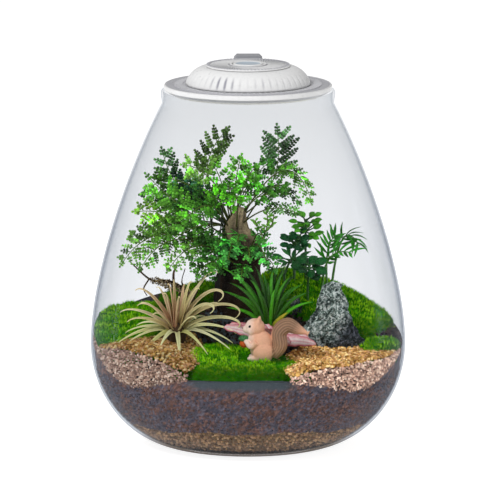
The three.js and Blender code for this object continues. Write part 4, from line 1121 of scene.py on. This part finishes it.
def air_plant(material, draw):
    """The air plant: channelled leaves from a bulb, pinkish within and olive without, that thin
    out to curling ends."""
    shape = Shape()
    bulb(shape)
    heart = AIR_PLANT["heart"]
    pink, olive, pale, rose = palette("#f09c80", "#ccce60", "#fafac8", "#b4604c")
    for reach, curl in AIR_LEAVES:
        reach = Vector(reach)
        flat = Vector((reach.x, reach.y, 0))
        away = flat.normalized()
        tip = heart + reach
        root = heart + away * 2.2 + UP * (-5 + 5 * max(reach.z, 0) / 30)
        rise = 0.5 * reach.length if reach.z > 12 else 0.34 * reach.length
        first = root + flat * 0.18 + UP * rise * 0.75
        second = heart + flat * 0.8 + UP * (reach.z + 0.16 * reach.length)
        line = [root, first, second, tip]
        if curl > 4:
            line += [tip + away * curl * 0.7 - UP * curl * 0.4, tip - UP * curl - away * 2]
        inner = clamped((reach.z + 4) / 26) * (0.9 if reach.x < 8 else 0.35)
        tint = mixed(mixed(olive, pale, draw.uniform(0, 0.9)), pink, inner * draw.uniform(0.4, 1))
        tints = (scaled(mixed(tint, rose, 0.65 * inner + 0.15), 0.8), scaled(mixed(tint, pale, 0.5), 1.35))
        face = UP * 0.7 - away * 0.5 + Vector((0, -0.7, 0))
        width = AIR_PLANT["width"] * draw.uniform(0.8, 1.2)
        ribbon(shape, bezier(line, 18), face, TAPER, width, tints, fold=0.55, midrib=0.68)
    make_piece("air_plant", shape, material, thickness=0.35)


GRASS_ROOT = Vector((13, -18, 72))
# Each blade's tip from the root.
GRASS_TIPS = [
    (-28.9, -2, 39), (-16.3, 2, 38.5), (-29.5, -3, 25), (1.8, 1, 38), (8.4, 0, 36), (15.1, -1, 27),
    (26.2, -2, 18), (-22, 3, 33), (-9, -1, 40), (-4, 3, 35), (20, 2, 28), (-20, -3, 22),
    (12, -3, 33), (-12, -4, 32), (5, 4, 40), (-26, 1, 14), (24, -3, 24), (-1, -4, 30),
    (10, 3, 40), (-6, -5, 24), (16, 3, 34), (-14, 4, 24), (3, -5, 26), (-24, -4, 30),
]
GRASS_FACE = (0, -1, 0.25)
GRASS_SHADES = (0.2, 0.35, 0.55, 0.8, 1.3)


def grass_tuft(material, draw):
    """Dark strap leaves with a pale middle that fan out of one root, and one yellowed blade."""
    shape = Shape()
    tube(shape, [rooted(12, -18), GRASS_ROOT], [2.2, 2.4], 10, srgb("#5c7a3a"))
    for tip in GRASS_TIPS:
        reach = Vector(tip)
        start = GRASS_ROOT + Vector((reach.x * 0.07, draw.uniform(-1, 1), -2))
        middle = GRASS_ROOT + Vector((reach.x * 0.3, reach.y, reach.z * 0.72 + 3))
        path = bezier([start, middle, GRASS_ROOT + reach], 14)
        tint = scaled(srgb("#409014"), draw.choice(GRASS_SHADES) * draw.uniform(0.9, 1.1))
        tints = (scaled(tint, 0.6), scaled(tint, 1.2))
        ribbon(shape, path, GRASS_FACE, STRAP, draw.uniform(1.9, 2.9), tints, fold=0.35, midrib=1.5)
    yellow = bezier([GRASS_ROOT, GRASS_ROOT + Vector((5, -3, 8)), GRASS_ROOT + Vector((11, -4, 12))], 8)
    ribbon(shape, yellow, GRASS_FACE, STRAP, 2.6, palette("#8f9a2a", "#d8c83a"), fold=0.3)
    make_piece("grass_tuft", shape, material, thickness=0.35)


EARTH_STAR = {"at": (13, -33.5), "heart": 9, "leaves": 12, "length": 28, "width": 9.5}
EARTH_STAR_STEPS = 14
EARTH_STAR_LIFT = {"left": 14, "right": 5}  # mm that a leaf rises to its end
STAR_EDGE, STAR_PINK, STAR_PALE = palette("#d86c7a", "#f8b8be", "#fff2ec")
# Places across a leaf, as shares of its half width, with their colours.
STRIPES = [(-1, STAR_EDGE), (-0.72, STAR_PINK), (-0.3, STAR_PALE), (0, STAR_PINK)]
STRIPES += [(-a, colour) for a, colour in reversed(STRIPES[:3])]


def striped_leaf(shape, path, width, face, draw):
    """A wavy leaf with pale stripes, pink sides and darker, crisped edges."""
    rows = []
    colours = []
    last = len(path) - 1
    for i, (p, along, side, up) in enumerate(frames_of(path, face)):
        t = i / last
        half = width / 2 * (0.35 + 0.65 * sin(pi * min(t * 0.8 + 0.2, 1)) if t < 0.98 else 0.05)
        row = []
        for a, colour in STRIPES:
            crimp = 0.55 * sin(i * 1.9 + 2.2 * (a > 0)) * abs(a) ** 2
            row.append(p + side * half * a + up * (0.25 * half * a * a + crimp))
            colours.append(scaled(colour, draw.uniform(0.85, 1.12) * (0.75 + 0.3 * t)))
        rows.append(row)
    shape.grid(rows, colours)


def earth_star(material, draw):
    """The earth star: wavy leaves all round, the longest to the left and right."""
    shape = Shape()
    x, y = EARTH_STAR["at"]
    middle = rooted(x, y, EARTH_STAR["heart"])
    tube(shape, [rooted(x, y), middle], [1.6, 2.2], 10, srgb("#8a5a4a"))
    for i in range(EARTH_STAR["leaves"]):
        turn = TAU * (i + 0.5) / EARTH_STAR["leaves"]
        reach = EARTH_STAR["length"] * (0.3 + 0.72 * cos(turn) ** 2) * draw.uniform(0.85, 1.03)
        lift = EARTH_STAR_LIFT["left" if cos(turn) < 0 else "right"]
        out = polar(1, turn)
        start = middle + out * 0.8 - UP * (0.6 + 1.2 * (i % 2))
        steps = [s / EARTH_STAR_STEPS for s in range(EARTH_STAR_STEPS + 1)]
        path = [start + out * reach * t + UP * (lift * t - 5 * t * t) for t in steps]
        face = Vector((0, -0.7 * abs(cos(turn)), 0.7))
        striped_leaf(shape, path, EARTH_STAR["width"] * draw.uniform(0.85, 1.1), face, draw)
    make_piece("earth_star", shape, material, thickness=0.5)


# ---- Squirrel ----
SQUIRREL = {"at": Vector((7.2, -53, 60.4)), "turn": radians(-6)}
TAIL = [(8, 0, 2.6), (12, 0, 9), (11.5, 0, 17), (16.5, 0, 21.5), (23, 0, 19), (29.2, 0, 16.5)]
TAIL_RADII = [3, 4, 4.5, 4.6, 4.7, 4.5, 3.6, 2.2, 0.5]
TAIL_STEPS = 40
TAIL_END = 2.2  # radius of its blunt end
TAIL_GROOVES = 17  # grooves around the tail, which run along it
GROOVE_DEPTH = 0.14
# Centre and radii: belly, chest, head and muzzle, then the cheek, haunch, foot and hand of one side.
BALLS = [
    ((0.9, 0, 9), (7.4, 6, 9.2)),
    ((-2.6, 0, 13.6), (4.6, 4.7, 5)),
    ((-3, 0, 20), (6, 5.2, 5.4)),
    ((-7.6, 0, 18.7), (3, 2.6, 2.5)),
]
SIDE_BALLS = [
    ((-4.6, 2.8, 18.4), (3, 2.6, 2.8)),
    ((2.4, 3.8, 5.2), (6.6, 3.8, 6)),
    ((-2.8, 4.2, 1.6), (4.6, 2, 1.8)),
    ((-8, 2.3, 11.6), (1.6, 1.5, 1.5)),
]
ARM = [(-1.5, 5, 11.5), (-5, 5, 9), (-8, 2.5, 11.6)]
EAR = [(-1.6, 2.8, 22), (-0.8, 3.4, 24.4), (-0.4, 3.7, 26.2)]
EAR_RADII = [2.3, 2.1, 1.8, 1.4, 1, 0.7, 0.4]
EYE = (-5.4, 4.2, 20.9)
NOSE = (-10.3, 0, 19.2)
PEACH, PALE_FUR, BROWN, RUST, TAN = palette("#f0b694", "#fde6d8", "#80604a", "#d8946e", "#cc9f7c")
BOTH_SIDES = (-1, 1)


def placed(p):
    """A point of the squirrel's own frame, where the squirrel sits."""
    return SQUIRREL["at"] + Matrix.Rotation(SQUIRREL["turn"], 3, "Z") @ Vector(p)


def on_side(p, sign):
    """A point that is given for the side of +Y, on the side of a sign."""
    return (p[0], sign * p[1], p[2])


class Tail:
    """Where a place of the body lies by the tail's line."""

    def __init__(self, p, line):
        gaps = [(p - q).length for q in line]
        i = gaps.index(min(gaps))
        self.share = i / (len(line) - 1)
        self.on_tail = gaps[i] < 6.2 and p.x > 7.5
        i = min(max(i, 1), len(line) - 2)
        along = (line[i + 1] - line[i - 1]).normalized()
        away = p - line[i]
        self.groove = sin(TAIL_GROOVES * atan2(away.y, away.dot(Vector((0, 1, 0)).cross(along))))


def fur_tint(p, tail):
    """Peach fur, pale on the face, chest and feet, and a brown-grey tail that ends in peach, with painted
    shade in the tail's grooves.
    """
    if tail.on_tail:
        # painted shade: the tail is lighter on its ridges and darker in its grooves
        light = 0.5 * (0.5 + 0.5 * tail.groove) + 0.4 * clamped((15 - p.z) / 10)
        return mixed(mixed(BROWN, TAN, light), PEACH, clamped((tail.share - 0.72) / 0.2))
    front = clamped((-p.x - 2.5) / 4)
    below = clamped((4 - p.z) / 4)
    back = mixed(PEACH, RUST, 0.25 * max(p.x / 8, 0))
    return mixed(back, PALE_FUR, min(0.75 * front + 0.5 * below, 0.85))


def squirrel_limbs(tail):
    """The squirrel as balls and tubes that run into each other."""
    shape = Shape()
    blank = (1, 1, 1)
    for centre, radii in BALLS:
        ellipsoid(shape, centre, radii, blank)
    for centre, radii in SIDE_BALLS:
        for sign in BOTH_SIDES:
            ellipsoid(shape, on_side(centre, -sign), radii, blank)
    thick = [blended(TAIL_RADII, i / TAIL_STEPS) for i in range(TAIL_STEPS)] + [TAIL_END]
    tube(shape, tail, thick, 20, blank, face=(0, 1, 0))
    for sign in BOTH_SIDES:
        tube(shape, spline([on_side(p, sign) for p in ARM], 10), [2.2, 1.4], 12, blank)
        tube(shape, spline([on_side(p, sign) for p in EAR], 6), EAR_RADII, 12, blank)
    return shape


def run_together(shape):
    """The places, normals and faces of a shape whose parts are fused and smoothed."""
    mesh = bpy.data.meshes.new("squirrel_rough")
    mesh.from_pydata(shape.points, [], shape.faces)
    rough = link(bpy.data.objects.new("squirrel_rough", mesh))
    fuse = rough.modifiers.new("fuse", "REMESH")
    fuse.mode = "VOXEL"
    fuse.voxel_size = 0.34
    soften = rough.modifiers.new("soften", "SMOOTH")
    soften.factor = 0.6
    soften.iterations = 7
    bpy.context.view_layer.update()
    fused = rough.evaluated_get(bpy.context.evaluated_depsgraph_get()).to_mesh()
    places = [(v.co.copy(), v.normal.copy()) for v in fused.vertices]
    faces = [list(f.vertices) for f in fused.polygons]
    bpy.data.objects.remove(rough)
    return places, faces


def squirrel(material):
    """The resin squirrel: rounded limbs run together, a grooved tail, two eyes and a nose."""
    line = spline(TAIL, TAIL_STEPS)
    places, faces = run_together(squirrel_limbs(line))
    points = []
    colours = []
    for p, normal in places:
        tail = Tail(p, line)
        if tail.on_tail and tail.share < 0.9:
            p += normal * GROOVE_DEPTH * tail.groove
        colours.append(fur_tint(p, Tail(p, line)))
        p.z = max(p.z, 0)
        points.append(placed(p))
    shape = Shape()
    shape.add(points, faces, colours)
    make_piece("squirrel", shape, material)
    eyes = Shape()
    for sign in BOTH_SIDES:
        ellipsoid(eyes, placed(on_side(EYE, sign)), (1.15, 0.6, 1), srgb("#0b0808"), 14)
    ellipsoid(eyes, placed(NOSE), (0.6, 0.8, 0.55), srgb("#7a4038"), 12)
    shiny = surface("eye", 0.12, 1, 0, 0, coat=0.6)
    make_piece("squirrel_eyes", eyes, shiny, nodes=())


NUT = {"at": Vector((-9.6, 0, 9.8)), "radii": (2.7, 2.7, 2.6)}
CAP = {"at": Vector((-9.6, 0, 12.8)), "radii": (3.1, 3.1, 1.9), "scales": 60}
CAP_GREENS = palette("#5a9a5c", "#3f7a48")


def acorn(material, draw):
    """The acorn: an orange nut under a green cap of small scales."""
    nut = Shape()
    ellipsoid(nut, placed(NUT["at"]), NUT["radii"], srgb("#cc5a1c"))
    make_piece("acorn_nut", nut, material)
    cap = Shape()
    ellipsoid(cap, placed(CAP["at"]), CAP["radii"], CAP_GREENS[1])
    for i in range(CAP["scales"]):
        z = 1 - i / CAP["scales"]
        way = polar(sqrt(1 - z * z), i * GOLDEN_ANGLE, z)
        way = Vector([w * r for w, r in zip(way, CAP["radii"])])
        grain(cap, placed(CAP["at"] + way), 0.8, CAP_GREENS, draw)
    make_piece("acorn_cap", cap, material)


# ---- Vessel and lid ----
RIM = VESSEL["height"]  # where the lid sits
LID_SIDES = 144
WHITE = srgb("#d2d2d2")
GREY = srgb("#8e8e96")
DARK = srgb("#686971")


def glass_vessel(material):
    """The vessel's wall, outside and inside, with a bead and a lip at its rim."""
    neck, neck_z = VESSEL["neck"]
    inner = neck - VESSEL["wall"]
    bead = [(neck + 0.3, neck_z + 3), (neck + 0.7, neck_z + 4.5), (neck + 0.7, RIM - 1)]
    lip = [(neck + 0.3, RIM - 0.2), (neck, RIM), (inner + 0.5, RIM), (inner, RIM - 0.5)]
    outline = [(0.01, 0.0), *wall_path(0, 0), *bead, *lip, *reversed(INNER_WALL), (0.01, VESSEL["floor"])]
    shape = Shape()
    lathe(shape, [(r, z, 0) for r, z in outline], LID_SIDES, palette("#e6eef0", "#e6eef0"))
    make_piece("glass_vessel", shape, material, inside=False)


def radial_bars(shape, count, inner, outer, width, low, high, tint, slant=0.0):
    """Flat bars around the lid from one radius to another, each turned off the radius by a slant."""
    for i in range(count):
        a = TAU * i / count
        out = Vector((cos(a), sin(a), 0))
        far = Vector((cos(a + slant), sin(a + slant), 0))
        side = Vector((-sin(a), cos(a), 0)) * width / 2
        corners = [out * inner - side, far * outer - side, far * outer + side, out * inner + side]
        points = [c + UP * low for c in corners] + [c + UP * high for c in corners]
        sides = [[k, (k + 1) % 4, 4 + (k + 1) % 4, 4 + k] for k in range(4)]
        shape.add(points, [[3, 2, 1, 0], [4, 5, 6, 7], *sides], tint)


# The flange's line: radius, height over the rim, and 1 where it takes the band's grey.
FLANGE = [
    (46.2, 0.3, 0), (46.2, -1, 0), (48.2, -1, 0), (48.2, 0.3, 1), (50, 0.3, 1), (50.5, 0.8, 0),
    (50.5, 3, 0), (50.1, 3.5, 0), (49.7, 3.5, 0), (49.6, 3.3, 1), (44.6, 3.3, 1), (44.4, 3.7, 1),
    (39.2, 3.7, 1), (39, 3.5, 1), (34.2, 3.5, 1), (34.2, 0.3, 0), (46.2, 0.3, 0),
]
HOLES = {"rows": (45.3, 46.4, 47.5, 48.6), "count": 160, "radius": 0.36, "sides": 6, "height": RIM + 3.34}
RIBS = 72


def flange(material):
    """The lid's flange: a grey perforated band whose holes are grey discs of painted shade, then a ring of
    short ribs, and a white rim.
    """
    shape = Shape()
    lathe(shape, FLANGE, LID_SIDES, (scaled(WHITE, 0.92), mixed(GREY, WHITE, 0.3)), RIM)
    radial_bars(shape, RIBS, 39.6, 44.1, 1.1, RIM + 3.6, RIM + 3.9, mixed(WHITE, GREY, 0.4))
    # painted shade: each hole is a flat grey disc laid on the band
    for row, r in enumerate(HOLES["rows"]):
        for i in range(HOLES["count"]):
            centre = polar(r, TAU * (i + 0.5 * (row % 2)) / HOLES["count"], HOLES["height"])
            hole = [centre + p for p in circle(HOLES["radius"], 0, HOLES["sides"])]
            shape.add(hole, [list(range(HOLES["sides"]))], GREY)
    make_piece("lid_flange", shape, material, smooth=False, inside=False)


DOME = {"base": 219.8, "radius": 37.7, "top": 25.6, "height": 10.5}
DOME_SIDES = 480
FLUTES = 48
FLUTE_DEPTH = 0.32


def flute_shade(x):
    """How much painted shade the flutes get: most to the left of the middle, and some at its right."""
    return 0.12 + 1.9 * exp(-(((x + 15) / 6) ** 2)) + 0.4 * exp(-(((x - 9) / 5) ** 2))


def dome(material):
    """The lid's dome with its shallow upright flutes, grey with painted shade."""
    shape = Shape()
    base, radius, height = DOME["base"], DOME["radius"], DOME["height"]
    edge = [(radius, 0, base), (radius - 1.8, 0, base + 7)]
    shoulder = bezier([*edge, (radius - 8, 0, base + height), (DOME["top"], 0, base + height)], 16)
    profile = [(radius - 1.6, base), *((p.x, p.z) for p in shoulder), (0.01, base + height)]
    rows = []
    colours = []
    for k, (r, z) in enumerate(profile):
        share = (z - base) / height
        fluted = 0 < k < len(profile) - 1
        depth = FLUTE_DEPTH * max(sin(pi * min(share * 1.25, 1)), 0) if fluted else 0
        row = []
        for j in range(DOME_SIDES):
            a = TAU * j / DOME_SIDES
            groove = depth * max(cos(FLUTES * a), 0) ** 2
            row.append(polar(r - groove, a, z))
            shade = flute_shade(r * cos(a)) * groove / FLUTE_DEPTH
            colours.append(mixed(WHITE, GREY, min(shade, 1)))
        rows.append(row)
    shape.grid(rows, colours, closed=True)
    make_piece("lid_dome", shape, material, inside=False)


TOP_PLATE = 230.6
# Lines of (radius, height over the top plate's foot, share of the darker tint).
GRILLE = [
    (25.2, 0, 0), (25.2, 0.7, 0), (24.2, 1.1, 0), (23.5, 0.7, 1), (11.3, 0.7, 1), (11, 1.3, 0),
    (9.9, 1.3, 0), (9.8, 0, 0), (25.2, 0, 0),
]
BUTTON = [
    (0.01, 0, 0), (8.9, 0, 0), (9, 1.2, 0), (8.7, 1.6, 0), (8.2, 1.7, 0), (7.7, 1.55, 0),
    (7.4, 1.3, 1), (5, 1.05, 1), (2.5, 0.95, 1), (0.01, 0.92, 1),
]


def top_plate(material):
    """The grille: a grey plate with fine slanted bars inside a white ring."""
    shape = Shape()
    foot = TOP_PLATE
    lathe(shape, GRILLE, 96, (WHITE, DARK), foot)
    radial_bars(shape, RIBS, 11.9, 23.4, 0.85, foot + 0.6, foot + 0.85, WHITE, slant=0.5)
    radial_bars(shape, RIBS, 23.2, 25, 1, foot + 0.7, foot + 1.15, mixed(WHITE, GREY, 0.8))
    make_piece("lid_top_plate", shape, material, smooth=False, inside=False)


def button(material):
    """The touch button: a white rounded rim about a dished lens, painted grey as the shade inside the dish.
    """
    shape = Shape()
    # painted shade: the dish inside the rim takes the grey tint
    lathe(shape, BUTTON, 64, (WHITE, srgb("#9aa6b0")), TOP_PLATE)
    make_piece("lid_button", shape, material, inside=False)


# ---- The ground ----
ALL_ROUND = [TAU * i / 180 for i in range(181)]


def at_wall(height):
    """A height function as a function of the bearing, where it meets the glass."""

    def edge(a):
        r = edge_radius(height, a, 1)
        return height(r * cos(a), r * sin(a))

    return edge


GRAVEL_EDGE = at_wall(drainage_height)
SOIL_EDGE = at_wall(soil_height)


def drainage(material, draw):
    """The coarse gravel, with dark grains at the very bottom as painted shade."""
    shape = Shape()
    floor = VESSEL["floor"] + 0.5
    brown = srgb("#6e5a42")
    bed(shape, lambda x, y: floor, lambda x, y: drainage_height(x, y) - 0.6, 1.5, lambda p: brown)
    # painted shade: the lowest rows of grains are near black
    grains_on_wall(shape, lambda a: 2, lambda a: 5, ALL_ROUND, 2.4, 1.8, DRAINAGE_SHADE, draw)
    grains_on_wall(shape, lambda a: 5, GRAVEL_EDGE, ALL_ROUND, 2.3, 1.75, DRAINAGE_GRAINS, draw)
    make_piece("drainage_gravel", shape, material, smooth=False)


def soil_at_glass(a):
    """The height up to which grains of soil show at the glass."""
    return min(SOIL_EDGE(a), 47)


SOIL_BED = {"clearance": 0.8, "sides": 420, "steps": 30, "uneven": 0.4}
PAD_X = -4  # the middle of the front moss, where no bare ground shows


def soil(material, draw):
    """The planting soil, in red and blue patches at the glass, with crumbs on the bare ground."""
    shape = Shape()

    def tint_at(p):
        patch = noise.noise(Vector((p.x * 0.08, p.y * 0.08, p.z * 0.16)))
        tint = draw.choice(SOIL_RED if patch + draw.uniform(-0.6, 0.6) > 0.05 else SOIL_BLUE)
        under_moss = clamped((p.z - 47.5) / 2.5) * clamped((34 - abs(p.x - PAD_X)) / 8)
        dark = 1 - 0.6 * clamped((p.z - 58) / 6)
        return mixed(scaled(tint, draw.uniform(0.7, 1.35) * dark), SOIL_BAND, under_moss if p.y < 0 else 0)

    def bare(x, y):
        under_pad = y < -68 and abs(x - PAD_X) < 38
        return y < 30 and soil_height(x, y) > slope_height(x, y) - 4 and not under_pad

    def low(x, y):
        return drainage_height(x, y) - 0.5

    bed(shape, low, lambda x, y: soil_height(x, y) - 0.3, tint_at=tint_at, **SOIL_BED)
    grains_on_wall(shape, GRAVEL_EDGE, soil_at_glass, ALL_ROUND, 1.6, 2.2, SOIL_RED + SOIL_BLUE, draw)
    grains_on_ground(shape, bare, soil_height, 2.2, 2.3, GROUND_CRUMBS, draw)
    make_piece("soil", shape, material, smooth=False)


# The tan gravel's bands: first and last bearing in degrees, inner radius and lightness, which is painted
# light and shade that makes the right band much lighter than the left.
GRAVEL_BANDS = {"top_gravel_left": (172, 247, 38, 0.86), "top_gravel_right": (286, 350, 42, 1.55)}


def bank_height(x, y):
    """The tan gravel's top, banked against the glass."""
    return slope_height(x, y) + 0.9 + swell(x, y, BANKS)


def top_gravel(name, band, material, draw):
    """One band of tan gravel: two layers of grains on the ground, and grains at the glass."""
    start, end, inner, light = band
    shape = Shape()
    span = [radians(start + (end - start) * i / 60) for i in range(61)]

    def held(x, y):
        share = (atan2(y, x) % TAU - span[0]) / (span[-1] - span[0])
        nearest = inner + 12 * abs(2 * share - 1) ** 3 if 0 <= share <= 1 else 200
        return hypot(x, y) > nearest and soil_height(x, y) < slope_height(x, y) + 0.8

    for _ in range(2):
        grains_on_ground(shape, held, bank_height, 2.1, 1.75, [scaled(c, light) for c in TOP_GRAINS], draw)
    colours = [scaled(c, light) for c in WALL_GRAINS]
    bank_edge = at_wall(bank_height)
    grains_on_wall(shape, lambda a: SOIL_EDGE(a) - 1, bank_edge, span, 1.9, 1.35, colours, draw)
    make_piece(name, shape, material, smooth=False)


# ---- The whole planting and the lid ----
PLANTING_SEED = 11


def ground(draw):
    """Gravel, soil and its crumbs, and the tan gravel of both front corners."""
    crumbly = surface("crumbs", 0.95, 0.5, 0.3, 0.6, specular=0.2)
    gritty = surface("gravel_grains", 0.85, 0.6, 0.25, 0.5, specular=0.3)
    drainage(gritty, draw)
    soil(crumbly, draw)
    for name, band in GRAVEL_BANDS.items():
        top_gravel(name, band, gritty, draw)


def planting():
    """The ground and all that stands on it, each piece with its material."""
    draw = random.Random(PLANTING_SEED)
    ground(draw)
    moss = surface("moss_pile", 0.9, 0.7, 0.2, 0.3, clear=0.25, specular=0.1)
    for name, spec in CUSHIONS.items():
        colours = MOSS if name in ("moss_front", "moss_hill") else MOSS_DEEP
        moss_cushion(name, spec, colours, moss, draw)
    rock = veined_stone()
    for name, spec in STONES.items():
        stone(name, spec, rock)
    bark = surface("bark", 0.85, 0.8, 0.45, 0.9, specular=0.25)
    driftwood(bark)
    twig(bark, draw)
    fern_leaf = surface("fern_leaf", 0.36, 0.9, 0.22, 0.25, clear=0.25)
    ferns(fern_leaf, surface("young_leaf", 0.45, 0.9, 0.2, 0.25, clear=0.35), draw)
    glossy = surface("glossy_leaf", 0.3, 1.2, 0.2, 0.2, coat=0.15, clear=0.15)
    for name, spec in PALM_FRONDS.items():
        palm(name, spec, glossy, draw)
    for name, spec in UMBRELLA_STEMS.items():
        umbrella(name, spec, glossy, draw)
    sprig(surface("pale_leaf", 0.5, 0.8, 0.2, 0.2, clear=0.35), draw)
    air_plant(surface("air_plant_leaf", 0.7, 0.5, 0.2, 0.3, clear=0.15, specular=0.3), draw)
    grass_tuft(surface("grass_blade", 0.32, 1.2, 0.2, 0.2, coat=0.1, clear=0.2), draw)
    earth_star(surface("earth_star_leaf", 0.6, 0.7, 0.18, 0.3, sheen=0.2, clear=0.15), draw)
    resin = surface("painted_resin", 0.5, 1.0, 0.08, 0.15, coat=0.1)
    squirrel(resin)
    acorn(resin, draw)


# The lid's CAD nodes that stay as they are: the name, colour and roughness of their material.
DRESSED = {
    "lid_socket": ("grey_tab", "#85868b", 0.45),
    "lid_diffuser": ("frosted_disc", "#f4f2ea", 0.55),
    "lid_lamp_board": ("lamp_board", "#3f7a4a", 0.5),
}


def lid():
    """The lid's drawn pieces, and the materials of its other CAD nodes."""
    white = surface("lid_plastic", 0.35, 2.0, 0.03, 0.04, coat=0.2)
    flange(white)
    dome(white)
    top_plate(white)
    button(surface("lid_button_plastic", 0.4, 1.2, 0.06, 0.1, coat=0.1))
    for node, (name, code, roughness) in DRESSED.items():
        material = surface(name, roughness, 1.0, 0.06, 0.1, srgb(code))
        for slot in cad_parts[node].material_slots:
            slot.material = material


# ---- Studio ----
CAMERA = {"distance": 5000, "elevation": radians(9.5), "target": Vector((1.2, 0, 118.3)), "sensor": 36}
PICTURE = {"pixels": 500, "pixel": 0.6032}  # width, and mm per pixel at the vessel's axis


def add_camera():
    """The photograph's view: a long lens far away, a little above the vessel's middle."""
    distance, elevation = CAMERA["distance"], CAMERA["elevation"]
    data = bpy.data.cameras.new("camera")
    data.sensor_fit = "HORIZONTAL"
    data.sensor_width = CAMERA["sensor"]
    data.lens = CAMERA["sensor"] * distance / (PICTURE["pixels"] * PICTURE["pixel"])
    data.clip_start = 0.1
    data.clip_end = 40
    camera = link(bpy.data.objects.new("camera", data))
    away = Vector((0, -cos(elevation), sin(elevation))) * distance
    camera.location = (CAMERA["target"] + away) * MM
    camera.rotation_euler = (pi / 2 - elevation, 0, 0)
    bpy.context.scene.camera = camera


def add_light(name, place, aim, size, power, shines=False):
    """A soft light, which shows as a reflection in the glass only where it shines."""
    data = bpy.data.lights.new(name, "AREA")
    data.shape = "RECTANGLE"
    data.size, data.size_y = size
    data.energy = power
    light = link(bpy.data.objects.new(name, data))
    light.location = place
    light.rotation_euler = (Vector(aim) - Vector(place)).to_track_quat("-Z", "Y").to_euler()
    light.visible_glossy = shines


FLOOR_HALF = 6
PALE_FLOOR = {
    "Base Color": (0.4, 0.4, 0.4, 1),
    "Roughness": 0.9,
    "Specular IOR Level": 0.0,
    "Emission Color": (1, 1, 1, 1),
    "Emission Strength": 0.9,
}
# Each light's place in metres, its size, its power and whether the glass shows it.
LIGHTS = {
    "key": ((-0.55, -0.8, 0.95), (0.4, 0.4), 13, False),
    "fill": ((0.9, -0.6, 0.5), (0.6, 0.6), 2.6, False),
    "back": ((-0.3, 0.9, 0.8), (0.7, 0.5), 4, False),
    "left_strip": ((-0.7, 0.25, 0.1), (0.12, 0.4), 0.3, True),
    "right_strip": ((0.7, 0.25, 0.1), (0.12, 0.4), 0.35, True),
}


def studio():
    """A seamless pale floor under soft light from the front left, the right and behind."""
    mesh = bpy.data.meshes.new("floor")
    corners = [(x * FLOOR_HALF, y * FLOOR_HALF, 0) for x, y in ((-1, -1), (1, -1), (1, 1), (-1, 1))]
    mesh.from_pydata(corners, [], [[0, 1, 2, 3]])
    floor = link(bpy.data.objects.new("floor", mesh))
    pale, tree, shader = new_material("pale_floor")
    put(tree, shader, PALE_FLOOR)
    mesh.materials.append(pale)
    world = bpy.data.worlds.new("world")
    world.use_nodes = True
    sky = world.node_tree
    put(sky, sky.nodes["Background"], {"Color": (1, 1, 1, 1), "Strength": 0.42})
    bpy.context.scene.world = world
    for name, (place, size, power, shines) in LIGHTS.items():
        add_light(name, place, (0, 0, 0.1), size, power, shines)
    bpy.context.scene.view_settings.view_transform = "Standard"


add_camera()
studio()
glass_vessel(clear_glass())
lid()
planting()
